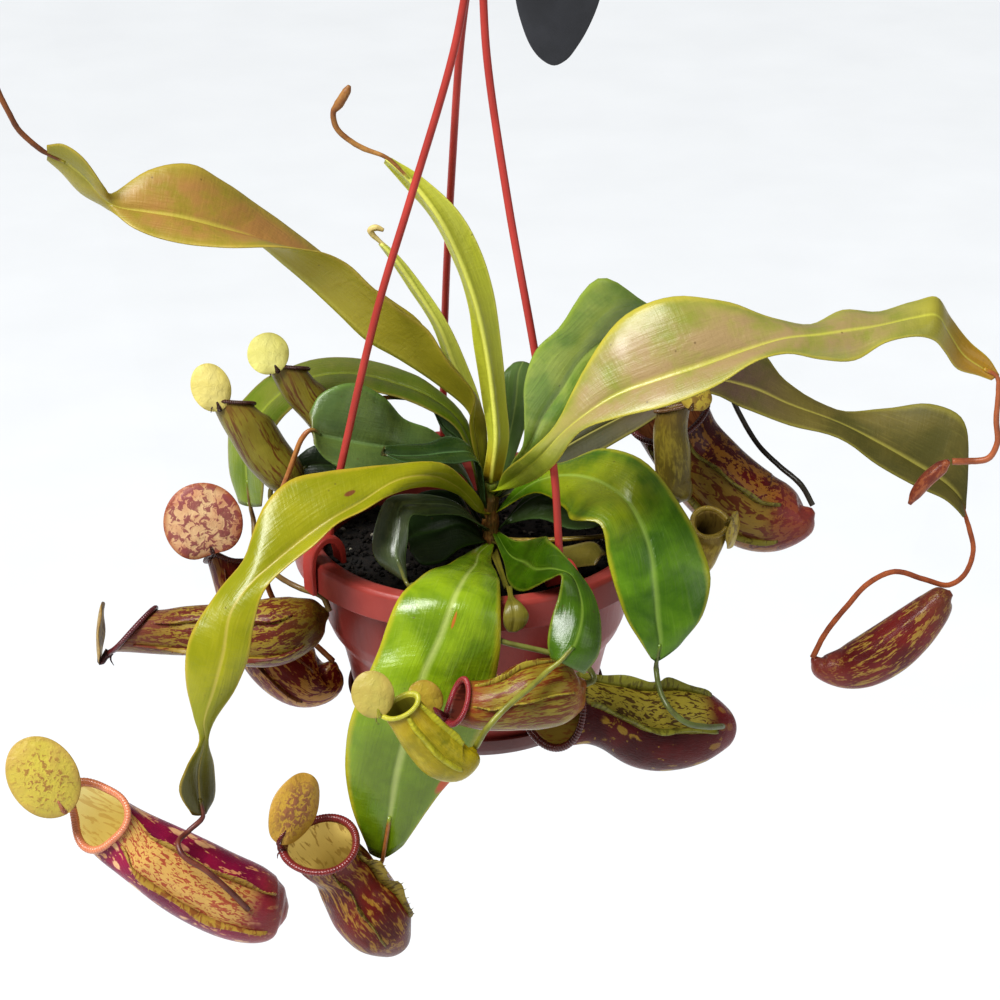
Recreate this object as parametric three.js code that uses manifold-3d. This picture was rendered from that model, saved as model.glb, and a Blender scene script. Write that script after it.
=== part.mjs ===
// Hanging pitcher plant: a tropical pitcher plant in a shallow plastic pot, with its drip tray,
// its soil, a three-strand hanger and a blank care tag.
// Units are millimetres, +Z is up, and the viewer stands on the -Y side.
// The plant is laid out from the centre of the pot's rim and then moved as a whole, so that
// the part's origin is the point where the hook hangs.
import * as THREE from 'three';
import manifoldModule from 'manifold-3d';

const wasm = await manifoldModule();
wasm.setup();

// Driving dimensions
const HANG_POINT = [2, 0, 277];        // inside top of the hook, from the centre of the rim
const FIT_GAP = 0.3;                   // air left between two pieces that meet
const RIM_RADIUS = 70;
const RIM_HEIGHT = 12;
const RIM_INNER_RADIUS = 64;
const SKIRT_WALL = 2;
const POT_WALL = 1.6;
const SOIL_LEVEL = -12;
const POT_FOOT = -76.5;
const POT_FLOOR = 2.5;
const TRAY_WALL = 1.6;
const ROUND_SIDES = 32;                // facets round the pot, the tray and the soil
const HUB_X = 2;
const HUB_BOTTOM = 222;
const STRAND_RADIUS = 1.45;
const HOOK_RADIUS = 2.3;
const HOOK_BEND = 14.3;                // centre line of the hook's round end
const CLIP_WIDTH = 7.5;
const TAG_THICKNESS = 0.8;
const STEM_X = 6;
const STEM_RADIUS = 3.2;
const STEM_TOP = 17.2;
const PETIOLE_HALF_WIDTH = 1.7;
const LEAF_THICKNESS = 0.9;
const RIB_THICKNESS = 1.5;
const EDGE_THICKNESS = 0.75;
const BLADE_BULGE = 0.06;              // rise of each half of a blade, as a share of its width
const TENDRIL_RADIUS = 1;
const PITCHER_WALL = 1.2;
const LIP_WIDTH = 1.6;
const LID_THICKNESS = 0.9;
const WING_THICKNESS = 0.9;
const SURFACE_TOLERANCE = 0.12;        // corners nearer than this to their neighbours' plane go

const COLOURS = {
  pot: ['#6f2a22', 0.42],
  drip_tray: ['#5c211c', 0.45],
  soil: ['#15110e', 0.95],
  hanger: ['#c0303a', 0.35],
  care_tag: ['#2b2c30', 0.5],
  tag_tie: ['#d8d6cf', 0.7],
  stem: ['#8a5a25', 0.6],
  leaf_lime: ['#9bb32d', 0.38],
  leaf_green: ['#5d7a1f', 0.4],
  leaf_dark: ['#2f4a26', 0.42],
  leaf_bronze: ['#a9a04a', 0.4],
  pitcher_orange: ['#b5653a', 0.38],
  pitcher_red: ['#6b1f1d', 0.35],
  pitcher_olive: ['#8d8a3a', 0.42],
};

// Small vector helpers
const vec = (p) => new THREE.Vector3(p[0], p[1], p[2]);
const mix = (a, b, t) => a.clone().lerp(b, t);
const smooth = (t) => {
  const c = Math.min(1, Math.max(0, t));
  return c * c * (3 - 2 * c);
};

// Closed body from a point list and triangles
function body(points, triangles) {
  const mesh = new wasm.Mesh({
    numProp: 3,
    vertProperties: new Float32Array(points.flatMap((p) => [p.x, p.y, p.z])),
    triVerts: new Uint32Array(triangles.flat()),
  });
  return new wasm.Manifold(mesh);
}

// Closed body from a three.js geometry, its equal corners welded
function fromGeometry(geometry) {
  const flat = geometry.index ? geometry.toNonIndexed() : geometry;
  const position = flat.getAttribute('position');
  const keys = new Map();
  const points = [];
  const corners = [];
  for (let i = 0; i < position.count; i += 1) {
    const p = new THREE.Vector3().fromBufferAttribute(position, i);
    const key = [p.x, p.y, p.z].map((c) => Math.round(c * 1e4)).join();
    if (!keys.has(key)) {
      keys.set(key, points.length);
      points.push(p);
    }
    corners.push(keys.get(key));
  }
  const triangles = [];
  for (let i = 0; i < corners.length; i += 3) {
    const [a, b, c] = corners.slice(i, i + 3);
    if (a !== b && b !== c && c !== a) triangles.push([a, b, c]);
  }
  return body(points, triangles);
}

const group = new THREE.Group();
group.name = 'hanging_pitcher_plant';

function addMesh(name, solid, colour) {
  const out = solid.simplify(SURFACE_TOLERANCE).getMesh();
  const geometry = new THREE.BufferGeometry();
  const corners = new Float32Array(out.numVert * 3);
  for (let i = 0; i < out.numVert; i += 1) {
    corners[3 * i] = out.vertProperties[out.numProp * i] - HANG_POINT[0];
    corners[3 * i + 1] = out.vertProperties[out.numProp * i + 1] - HANG_POINT[1];
    corners[3 * i + 2] = out.vertProperties[out.numProp * i + 2] - HANG_POINT[2];
  }
  geometry.setAttribute('position', new THREE.BufferAttribute(corners, 3));
  geometry.setIndex(Array.from(out.triVerts));
  geometry.computeVertexNormals();
  const [tint, roughness] = COLOURS[colour];
  const material = new THREE.MeshStandardMaterial({ color: tint, roughness, metalness: 0 });
  material.name = name;
  const mesh = new THREE.Mesh(geometry, material);
  mesh.name = name;
  group.add(mesh);
}

// Body through a row of closed rings with the same number of points
function loft(rings, closed = false) {
  const sides = rings[0].length;
  const points = rings.flat();
  const triangles = [];
  const last = closed ? rings.length : rings.length - 1;
  for (let i = 0; i < last; i += 1) {
    const here = i * sides;
    const next = ((i + 1) % rings.length) * sides;
    for (let j = 0; j < sides; j += 1) {
      const k = (j + 1) % sides;
      triangles.push([here + j, here + k, next + k], [here + j, next + k, next + j]);
    }
  }
  if (!closed) {
    const first = points.push(rings[0].reduce((s, p) => s.add(p), new THREE.Vector3())
      .divideScalar(sides)) - 1;
    const end = points.push(rings.at(-1).reduce((s, p) => s.add(p), new THREE.Vector3())
      .divideScalar(sides)) - 1;
    const start = (rings.length - 1) * sides;
    for (let j = 0; j < sides; j += 1) {
      const k = (j + 1) % sides;
      triangles.push([first, k, j], [end, start + j, start + k]);
    }
  }
  return body(points, triangles);
}

function ring(centre, normal, towards, radius, sides, turn = 0) {
  const n = normal.clone().normalize();
  const u = towards.clone().addScaledVector(n, -towards.dot(n)).normalize();
  const w = n.clone().cross(u);
  return Array.from({ length: sides }, (_, j) => {
    const angle = turn + (2 * Math.PI * j) / sides;
    return centre.clone()
      .addScaledVector(u, radius * Math.cos(angle))
      .addScaledVector(w, radius * Math.sin(angle));
  });
}

// Round rod whose thickness changes from point to point; each point is [x, y, z, radius]
function rod(stations, sides = 5, steps = 2, closed = false) {
  const path = new THREE.CatmullRomCurve3(stations.map(vec), closed, 'centripetal');
  const spans = closed ? stations.length : stations.length - 1;
  const count = spans * steps;
  const rings = [];
  let towards = null;
  for (let i = 0; i < (closed ? count : count + 1); i += 1) {
    const at = i / steps;
    const k = Math.min(Math.floor(at), stations.length - 1);
    const from = stations[k][3];
    const to = stations[(k + 1) % stations.length][3] ?? from;
    const tangent = path.getTangent(i / count);
    if (!towards) towards = Math.abs(tangent.z) < 0.8 ? new THREE.Vector3(0, 0, 1)
      : new THREE.Vector3(1, 0, 0);
    towards = towards.clone().addScaledVector(tangent, -towards.dot(tangent)).normalize();
    rings.push(ring(path.getPoint(i / count), tangent, towards,
      THREE.MathUtils.lerp(from, to, at - k), sides));
  }
  return loft(rings, closed);
}

// Pot: rim with a hanging skirt, a tapered wall with a curved step, and a flat foot
const FOOT_RADIUS = 44.2;
const potWall = [
  [61.5, -4], [58.6, -35], [56.6, -40], [53.2, -45], [51.6, -50], [49.8, -58], [47.8, -70],
  [FOOT_RADIUS, POT_FOOT],
];

function potProfile() {
  const outside = [
    [0, POT_FOOT],
    ...potWall.slice().reverse(),
    [RIM_RADIUS - SKIRT_WALL, -3],
    [RIM_RADIUS - SKIRT_WALL, -RIM_HEIGHT],
    [RIM_RADIUS, -RIM_HEIGHT],
    [RIM_RADIUS, -1.2],
    [RIM_RADIUS - 1.2, 0],
  ];
  const inside = [
    [RIM_INNER_RADIUS, 0],
    [RIM_INNER_RADIUS - 2.5, -1.5],
    ...potWall.slice(0, -1).map(([r, z]) => [r - POT_WALL, z]),
    [FOOT_RADIUS - POT_WALL, POT_FOOT + POT_FLOOR],
    [0, POT_FOOT + POT_FLOOR],
  ];
  return [...outside, ...inside];
}

function turned(profile) {
  const points = profile.map(([r, z]) => new THREE.Vector2(r, z));
  const geometry = new THREE.LatheGeometry(points, ROUND_SIDES);
  geometry.rotateX(Math.PI / 2);
  return fromGeometry(geometry);
}

addMesh('pot', turned(potProfile()), 'pot');

// Drip tray clipped on the pot's foot
const trayProfile = [
  [0, POT_FOOT - FIT_GAP - TRAY_WALL],
  [FOOT_RADIUS, POT_FOOT - FIT_GAP - TRAY_WALL],
  [47, POT_FOOT + 1.5],
  [50.6, -68.5],
  [50.6 - TRAY_WALL, -68.5],
  [48.4 - TRAY_WALL + FIT_GAP, -72.5],
  [FOOT_RADIUS + FIT_GAP, POT_FOOT - FIT_GAP],
  [0, POT_FOOT - FIT_GAP],
];
addMesh('drip_tray', turned(trayProfile), 'drip_tray');

// Soil, filling the pot up to its level
const soilProfile = [
  [0, POT_FOOT + POT_FLOOR + FIT_GAP],
  [FOOT_RADIUS - POT_WALL - 2 * FIT_GAP, POT_FOOT + POT_FLOOR + FIT_GAP],
  ...potWall.slice(1, -1).reverse().map(([r, z]) => [r - POT_WALL - 2 * FIT_GAP, z]),
  [60.7 - POT_WALL - 2 * FIT_GAP, SOIL_LEVEL],
  [0, SOIL_LEVEL],
];
addMesh('soil', turned(soilProfile), 'soil');

// Hanger: a hub with a hook on it, three strands, and a clip over the rim under each strand
// Each strand's centre line, from the hub down to its clip
const STRAND_TOP = HUB_BOTTOM - 0.9;
const strands = {
  hanger_strand_1: [[-0.6, -1.4, STRAND_TOP], [-7.2, -4.4, 188], [-23.4, -13.2, 135], [-35, -20, 98],
    [-50, -28, 36], [-53.6, -30.2, 19], [-54.5, -30.8, 10.1]],
  hanger_strand_2: [[-0.6, 3, STRAND_TOP], [-4.6, 9, 188], [-8, 24.5, 137], [-10.7, 43, 86],
    [-12.2, 57, 43.5], [-12.6, 60.5, 20], [-12.7, 61.2, 10.1]],
  hanger_strand_3: [[3.2, -2.5, STRAND_TOP], [4.9, -8, 188], [12.5, -21.6, 137], [22, -38, 86],
    [29, -50, 43.5], [30.6, -53, 20], [31.2, -54.1, 10.1]],
};

function disc(radius, segments) {
  const shape = new THREE.Shape();
  for (let j = 0; j < segments; j += 1) {
    const angle = (2 * Math.PI * j) / segments;
    const point = [radius * Math.cos(angle), radius * Math.sin(angle)];
    if (j === 0) shape.moveTo(...point);
    else shape.lineTo(...point);
  }
  shape.closePath();
  return shape;
}

function tube(points, radius, steps, segments) {
  const extrudePath = new THREE.CatmullRomCurve3(points.map(vec), false, 'centripetal');
  return fromGeometry(new THREE.ExtrudeGeometry(disc(radius, segments), { steps, extrudePath }));
}

for (const [name, path] of Object.entries(strands)) {
  addMesh(name, tube(path, STRAND_RADIUS, 12, 8), 'hanger');
}

// The clip's outline as [distance from the pot's axis, height], seen from the side
const clipOutline = [
  [72.3, -12.5], [72.4, 2], [70, 7.4], [66, 10.2], [61.5, 9.6], [58.4, 5.5], [57.6, -2],
  [59.6, -2], [60.6, 3.6], [62.8, 7], [65.6, 7.8], [68.4, 5.6], [70.3, 1.6], [70.3, -12.5],
];
Object.values(strands).forEach((path, i) => {
  const [x, y] = path.at(-1);
  const shape = new THREE.Shape(clipOutline.map(([r, z]) => new THREE.Vector2(r, z)));
  const geometry = new THREE.ExtrudeGeometry(shape, { depth: CLIP_WIDTH, bevelEnabled: false });
  geometry.translate(0, 0, -CLIP_WIDTH / 2);
  geometry.rotateX(Math.PI / 2);
  geometry.rotateZ(Math.atan2(y, x));
  addMesh(`hanger_clip_${i + 1}`, fromGeometry(geometry), 'hanger');
});

const hookCentre = HANG_POINT[2] - HOOK_BEND + HOOK_RADIUS;
const hookPath = [[HUB_X, 0, 233], [HUB_X, 0, 243], [HUB_X + 7, 0, 250]];
for (let i = 0; i <= 8; i += 1) {
  const angle = (i * Math.PI) / 8 - 0.1;
  hookPath.push([HUB_X + HOOK_BEND * Math.cos(angle), 0, hookCentre + HOOK_BEND * Math.sin(angle)]);
}
hookPath.push([HUB_X - HOOK_BEND, 0, hookCentre - 7]);
const hubProfile = [
  [0, HUB_BOTTOM], [4.6, HUB_BOTTOM], [5.6, HUB_BOTTOM + 2], [5.2, 229], [3.2, 234], [2.6, 237],
  [0, 237],
];
const hubGeometry = new THREE.LatheGeometry(hubProfile.map(([r, z]) => new THREE.Vector2(r, z)), 12);
hubGeometry.rotateX(Math.PI / 2);
hubGeometry.translate(HUB_X, 0, 0);
const hook = fromGeometry(hubGeometry).add(tube(hookPath, HOOK_RADIUS, 20, 8));
addMesh('hanger_hook', hook, 'hanger');

// Care tag: a blank card on a loop of cord round the hook's shank
const tagOutline = [
  [29, 184.8], [24.5, 187], [20.5, 192], [17, 201], [15, 210], [15, 220], [19, 230], [26, 237],
  [33, 239], [41, 235], [45, 226], [46, 217], [45, 209], [41, 198.5], [37, 191.5], [33.5, 187],
];
const TAG_Y = -8;
const TAG_HOLE = [25, 230, 2.2];
const tagShape = new THREE.Shape(tagOutline.map(([x, z]) => new THREE.Vector2(x, z)));
tagShape.holes.push(new THREE.Path().absarc(TAG_HOLE[0], TAG_HOLE[1], TAG_HOLE[2], 0, 2 * Math.PI));
const tagGeometry = new THREE.ExtrudeGeometry(tagShape, {
  depth: TAG_THICKNESS, bevelEnabled: false, curveSegments: 4,
});
tagGeometry.rotateX(Math.PI / 2);
tagGeometry.translate(0, TAG_Y, 0);
addMesh('care_tag', fromGeometry(tagGeometry), 'care_tag');
addMesh('tag_tie', rod([
  [-3, 0, 241, 0.6], [2, -5.4, 241, 0.6], [14, -9, 237, 0.6], [23.5, -11.4, 231.4, 0.6],
  [25.6, -8.4, 229.4, 0.6], [23.5, -5, 231, 0.6], [13, 1.5, 237, 0.6], [3, 5.4, 241, 0.6],
], 5, 1, true), 'tag_tie');

// Stem
addMesh('stem', rod([
  [STEM_X, 0, SOIL_LEVEL + FIT_GAP, STEM_RADIUS], [STEM_X, 0, 0, STEM_RADIUS],
  [STEM_X, 0, STEM_TOP, STEM_RADIUS - 0.4],
], 10, 1), 'stem');

// Leaf: a blade and the tendril that runs on from its rib. Each row is a cross-section
// [left edge, rib, right edge], seen from the stem with the upper face up. The first row stands
// at the stem, at an angle round it and a height.
function petioleRow([angle, z], reach = STEM_RADIUS + 2 * FIT_GAP) {
  const turn = THREE.MathUtils.degToRad(angle);
  const out = new THREE.Vector3(Math.cos(turn), Math.sin(turn), 0);
  const across = new THREE.Vector3(Math.sin(turn), -Math.cos(turn), 0);
  const middle = new THREE.Vector3(STEM_X, 0, z).addScaledVector(out, reach);
  return [-1, 0, 1].map((side) => middle.clone()
    .addScaledVector(across, side * PETIOLE_HALF_WIDTH).addScaledVector(out, -0.3 * side * side));
}

function blade({ from, rows, steps = 2 }) {
  const stations = rows.map((row) => row.map(vec));
  if (from) stations.unshift(petioleRow(from));
  const rails = [0, 1, 2].map((j) => new THREE.CatmullRomCurve3(
    stations.map((row) => row[j]), false, 'centripetal'));
  const count = (stations.length - 1) * steps;
  const grid = [];
  for (let i = 0; i <= count; i += 1) {
    const [left, rib, right] = rails.map((rail) => rail.getPoint(i / count));
    const along = rails[1].getTangent(i / count);
    const halfway = (a, b) => {
      const across = b.clone().sub(a);
      const up = across.clone().cross(along).normalize();
      return mix(a, b, 0.5).addScaledVector(up, BLADE_BULGE * across.length());
    };
    grid.push([left, halfway(left, rib), rib, halfway(rib, right), right]);
  }
  return plate(grid,
    [EDGE_THICKNESS, LEAF_THICKNESS, RIB_THICKNESS, LEAF_THICKNESS, EDGE_THICKNESS]);
}

// Thin closed plate on both sides of a grid of points, cut into triangles alike on both faces
function plate(grid, thickness) {
  const rows = grid.length;
  const columns = grid[0].length;
  const normal = (i, j) => {
    const before = grid[Math.max(0, i - 1)][j];
    const after = grid[Math.min(rows - 1, i + 1)][j];
    const left = grid[i][Math.max(0, j - 1)];
    const right = grid[i][Math.min(columns - 1, j + 1)];
    return right.clone().sub(left).cross(after.clone().sub(before)).normalize();
  };
  const points = [];
  for (let i = 0; i < rows; i += 1) {
    for (let j = 0; j < columns; j += 1) {
      const n = normal(i, j).multiplyScalar(thickness[j] / 2);
      points.push(grid[i][j].clone().add(n), grid[i][j].clone().sub(n));
    }
  }
  const top = (i, j) => 2 * (i * columns + j);
  const under = (i, j) => top(i, j) + 1;
  const triangles = [];
  const quad = (a, b, c, d) => triangles.push([a, b, c], [a, c, d]);
  for (let i = 0; i < rows - 1; i += 1) {
    for (let j = 0; j < columns - 1; j += 1) {
      quad(top(i, j), top(i, j + 1), top(i + 1, j + 1), top(i + 1, j));
      triangles.push([under(i, j), under(i + 1, j + 1), under(i, j + 1)],
        [under(i, j), under(i + 1, j), under(i + 1, j + 1)]);
    }
    quad(under(i, 0), top(i, 0), top(i + 1, 0), under(i + 1, 0));
    const e = columns - 1;
    quad(top(i, e), under(i, e), under(i + 1, e), top(i + 1, e));
  }
  for (let j = 0; j < columns - 1; j += 1) {
    quad(under(0, j), under(0, j + 1), top(0, j + 1), top(0, j));
    const e = rows - 1;
    quad(top(e, j), top(e, j + 1), under(e, j + 1), under(e, j));
  }
  return body(points, triangles);
}

function leaf(name, colour, details) {
  const { rows, tendril, end = TENDRIL_RADIUS * 1.15 } = details;
  let solid = blade(details);
  if (tendril) {
    const start = rows.slice(-2).map((row) => [...row[1], TENDRIL_RADIUS * 0.8]);
    const path = tendril.map((p, i) => [p[0], p[1], p[2],
      p[3] ?? THREE.MathUtils.lerp(TENDRIL_RADIUS, end, (i + 1) / tendril.length)]);
    solid = solid.add(rod([...start, ...path], 5, tendril.length > 7 ? 1 : 2));
  }
  addMesh(name, solid, colour);
}

// Leaf 1: long, out to the upper left, its near edge rolled up and over
leaf('leaf_01', 'leaf_bronze', {
  steps: 1,
  from: [152, 14],
  rows: [
    [[-2, 1, 41], [0, 4, 38], [4, 8, 39]],
    [[0, -4, 55], [-2, 3, 46], [0, 12, 49]],
    [[-9, -9, 69], [-14, -1, 59], [-11, 14, 63]],
    [[-17, -12, 84], [-28, -3, 70], [-21, 16, 77]],
    [[-26, -13, 92], [-40, -4, 78], [-34, 17, 87]],
    [[-36, -14, 101], [-50, -3, 88], [-47, 18, 95]],
    [[-47, -15, 112], [-61, 0, 98], [-55, 20, 101]],
    [[-57, -16, 117], [-70, 1, 106], [-64, 20, 109]],
    [[-75, -17, 119], [-81, 2, 115], [-77, 18, 120]],
    [[-95, -16, 119], [-96, -2, 122], [-93, 14, 134]],
    [[-111, -15, 121], [-109, -3, 126], [-105, 10, 142]],
    [[-124, -12, 125], [-121, -3, 128], [-120, 6, 141]],
    [[-131, -6, 128], [-131, -3, 130], [-133, 0, 134]],
    [[-136, 2, 128], [-136, -2, 133], [-135, -6, 139]],
    [[-145, 6, 132], [-142, -2, 141], [-142, -8, 151]],
    [[-151, 5, 140], [-149, -2, 147], [-149, -6, 155]],
    [[-156, 1, 147], [-155, -2, 150], [-155, -4, 154]],
  ],
  tendril: [[-158, -2, 152], [-165, -2, 159], [-168, -2, 165], [-172, -2, 175],
    [-173, -2, 181, 1.6], [-172, -2, 187, 1.4], [-171, -2, 190, 0.7]],
});

// Leaf 2: narrow and folded, rising from the top of the stem and arching to the left
leaf('leaf_02', 'leaf_lime', {
  steps: 1,
  rows: [
    [[10, 0, 17.8], [6, -2, 17.8], [3, 0, 17.8]],
    [[13, 2, 34], [8, -4, 36], [5, 2, 34]],
    [[12, 4, 49], [7, -2, 52], [3, 4, 49]],
    [[10, 5, 72], [4, 0, 74], [0, 6, 71]],
    [[7, 6, 93], [0, 0, 92], [-3, 7, 91]],
    [[2, 6, 110], [-6, 1, 109], [-9, 8, 108]],
    [[-6, 6, 125], [-13, 1, 124], [-16, 8, 122]],
    [[-20, 5, 139], [-24, 2, 139], [-26, 7, 135]],
    [[-30, 4, 146], [-32, 2, 147], [-33, 5, 144]],
  ],
  tendril: [[-40, 3, 150], [-45, 3, 153], [-50, 3, 158], [-51, 3, 164], [-49, 3, 167, 1.8],
    [-46, 3, 172, 1.6], [-45, 3, 174, 0.7]],
});

// Leaf 3: small spear behind leaf 2
leaf('leaf_03', 'leaf_lime', {
  steps: 1,
  from: [98, 10],
  rows: [
    [[4, 11, 34], [3, 10, 34], [2, 13, 33]],
    [[2, 14, 45], [-1, 13, 46], [-3, 18, 46]],
    [[-3, 16, 59], [-7, 15, 58], [-10, 20, 57]],
    [[-10, 18, 75], [-13, 17, 74], [-16, 22, 73]],
    [[-19, 20, 89], [-22, 19, 89], [-25, 23, 88]],
    [[-28, 21, 101], [-30, 20, 101], [-32, 22, 100]],
    [[-34, 21, 107], [-35, 21, 107], [-36, 22, 106]],
  ],
  tendril: [[-38, 21, 110], [-39, 21, 112, 1.3], [-37, 21, 113, 1.3], [-34, 21, 112, 0.7]],
});

// Leaf 4: broad arch to the left, then straight down
leaf('leaf_04', 'leaf_green', {
  steps: 1,
  from: [150, 6.5],
  rows: [
    [[-6, 10, 34], [-5, 14, 35], [-3, 18, 35]],
    [[-17, 14, 41], [-17, 22, 43], [-17, 30, 45]],
    [[-33, 20, 45], [-31, 29, 46], [-30, 40, 48]],
    [[-48, 22, 47], [-48, 34, 48], [-48, 48, 49]],
    [[-63, 22, 44], [-65, 36, 45], [-65, 50, 47]],
    [[-76, 22, 33], [-80, 36, 35], [-83, 50, 39]],
    [[-82, 22, 20], [-89, 34, 21], [-96, 46, 25]],
    [[-83, 22, 6], [-90, 32, 4], [-98, 42, 5]],
    [[-84, 24, -4], [-89, 30, -7], [-94, 36, -8]],
  ],
  tendril: [[-88, 30, -13], [-87, 20, -19], [-81, 0, -17], [-74, -22, -13], [-66, -29, -14],
    [-58, -30, -17], [-55.6, -30, -22.8]],
});

// Leaf 5: short broad dark leaf over the left of the rim
leaf('leaf_05', 'leaf_dark', {
  steps: 1,
  from: [193, 2.5],
  rows: [
    [[-5, -4, 22], [-6, 2, 24], [-7, 6, 25]],
    [[-15, -8, 27], [-16, 0, 30], [-16, 6, 36]],
    [[-26, -14, 28], [-29, -4, 33], [-27, 4, 42]],
    [[-39, -19, 29], [-41, -9, 37], [-35, 0, 53]],
    [[-49, -21, 32], [-52, -13, 41], [-46, -4, 60]],
    [[-56, -22, 37], [-58, -16, 44], [-58, -8, 57]],
    [[-60, -22, 43], [-61, -18, 47], [-62, -12, 51]],
  ],
  tendril: [[-64, -19, 45], [-70, -19, 30], [-79, -18, 3], [-80, -18, -16], [-74, -13, -34],
    [-63, -7, -49], [-56, -6, -57.2]],
});

// Leaf 6: small dark leaf at the back left
leaf('leaf_06', 'leaf_dark', {
  steps: 1,
  from: [120, -3],
  rows: [
    [[-2, 13, 24], [-3, 15, 25], [-4, 17, 27]],
    [[-11, 18, 28], [-12, 20, 32], [-11, 22, 39]],
    [[-18, 24, 39], [-19, 25, 41], [-20, 26, 43]],
    [[-33, 26, 41], [-34, 27, 41], [-34, 28, 41]],
  ],
  tendril: [[-40, 25, 40], [-46, 18, 34], [-47, 11, 28], [-45.6, 8, 29.6]],
});

// Leaf 7: long lime leaf, over the front left of the rim and down
leaf('leaf_07', 'leaf_lime', {
  steps: 1,
  from: [240, 5],
  rows: [
    [[1, -8, 8], [2, -8, 9], [3, -7, 11]],
    [[-7, -17, 20], [-5, -16, 21], [-3, -14, 23]],
    [[-19, -30, 29], [-16, -27, 32], [-13, -22, 35]],
    [[-31, -44, 32], [-29, -38, 35], [-31, -30, 38]],
    [[-40, -54, 31], [-42, -47, 30], [-43, -35, 39]],
    [[-50, -60, 28], [-51, -53, 27], [-55, -39, 39]],
    [[-59, -66, 22], [-62, -58, 21], [-68, -44, 38]],
    [[-69, -70, 15], [-72, -64, 15], [-78, -52, 30]],
    [[-77, -74, 7], [-82, -70, 8], [-85, -60, 13]],
    [[-81, -76, -6], [-89, -74, -1], [-95, -66, 2]],
    [[-83, -78, -17], [-92, -78, -16], [-105, -74, -13]],
    [[-89, -78, -32], [-96, -80, -30], [-106, -76, -31]],
    [[-97, -78, -45], [-100, -80, -43], [-104, -78, -42]],
    [[-99, -78, -52], [-100, -79, -51], [-102, -80, -51]],
    [[-98, -74, -65], [-103, -79, -64], [-107, -84, -60]],
    [[-98, -75, -78], [-103, -80, -76], [-110, -84, -70]],
    [[-101, -78, -83], [-102, -80, -83], [-106, -81, -82]],
  ],
  tendril: [[-103, -80, -85], [-108, -82, -89], [-111, -88, -90], [-109, -92, -93],
    [-101, -94, -98], [-93, -93, -107], [-86, -88.9, -118.7]],
});

// Leaf 8: broad, straight over the front of the rim and down
leaf('leaf_08', 'leaf_green', {
  from: [265, -8],
  rows: [
    [[6, -12, -10], [2, -10, -8], [-3, -9, -9]],
    [[8, -38, -3], [0, -38, 0], [-9, -38, 1]],
    [[9, -62, 3], [-4, -62, 6], [-19, -60, 7]],
    [[9, -76, 1], [-8, -78, 5], [-28, -74, 4]],
    [[9, -82, -11], [-13, -84, -7], [-35, -80, -13]],
    [[7, -84, -24], [-19, -88, -19], [-40, -85, -24]],
    [[3, -85, -42], [-24, -90, -38], [-46, -87, -40]],
    [[-5, -86, -59], [-29, -90, -58], [-48, -87, -58]],
    [[-15, -87, -72], [-32, -88, -79], [-46, -86, -76]],
    [[-27, -87, -92], [-35, -87, -98], [-40, -86, -96]],
  ],
  tendril: [[-36, -83, -103], [-35, -76, -110], [-31, -70, -122], [-27, -74, -134],
    [-27, -82, -138.3], [-29.6, -85.6, -136.7]],
});

// Leaf 9: small silvery folded leaf at the front left of the crown
leaf('leaf_09', 'leaf_green', {
  steps: 1,
  from: [229, -2],
  rows: [
    [[-6, -13, 9], [-7, -12, 12], [-8, -11, 14]],
    [[-18, -26, 15], [-19, -24, 19], [-20, -20, 21]],
    [[-24, -38, 20], [-28, -36, 23], [-33, -31, 24]],
    [[-25, -44, 14], [-29, -44, 16], [-38, -39, 13]],
    [[-26, -48, 7], [-29, -50, 9], [-37, -45, 6]],
    [[-25, -53, 0], [-25, -54, 0], [-26, -52, 0]],
  ],
  tendril: [[-22, -61, 3.4], [-14, -70.5, 3], [-8, -76, -1], [0, -78, -6], [9, -80, -10],
    [27, -80, -15], [40, -82, -19], [43, -86, -23], [40, -87.1, -24.2]],
});

// Leaf 10: over the front of the rim, short and broad at its end
leaf('leaf_10', 'leaf_green', {
  from: [322, -4],
  rows: [
    [[16, -13, -2], [13, -14, -7], [11, -16, -9]],
    [[26, -32, 9], [19, -36, 0], [13, -40, -7]],
    [[27, -54, 18], [23, -58, 8], [18, -56, -2]],
    [[31, -66, 19.5], [29, -72, 15], [27, -74, 12]],
    [[37, -76, 16], [35, -80, 16], [31, -84, 18]],
    [[43, -82, 9], [38, -86, 10], [30, -88, 12]],
    [[45, -90, 0], [38, -94, 5], [27, -92, 4]],
    [[44, -96, -7], [35, -100, -2], [26, -96, -3]],
    [[39, -98, -14], [30, -102, -7], [27, -98, -8]],
  ],
  tendril: [[26, -103, -10], [20, -109, -13], [11, -117, -17], [4, -120, -24], [0, -118, -32.5]],
});

// Leaf 11: broad, to the right and over the rim
leaf('leaf_11', 'leaf_green', {
  from: [350, 5],
  rows: [
    [[23, -4, 24], [23, -9, 21], [23, -12, 18]],
    [[35, -8, 29], [36, -18, 28], [34, -31, 20]],
    [[48, -14, 37], [48, -30, 30], [36, -45, 22]],
    [[62, -24, 37], [57, -42, 27], [46, -51, 23]],
    [[75, -36, 26], [64, -52, 15], [49, -58, 11]],
    [[83, -46, 14], [66, -60, 3], [52, -62, 1]],
    [[87, -54, 2], [67, -64, -10], [56, -66, -9]],
    [[84, -60, -10], [68, -66, -19], [61, -68, -17]],
    [[76, -64, -20], [67, -67, -26], [65, -68, -24]],
  ],
  tendril: [[67, -67, -29], [68, -74, -34], [71, -80, -38], [77, -82, -43], [86, -75, -49],
    [92.4, -66.4, -53.6]],
});

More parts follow.
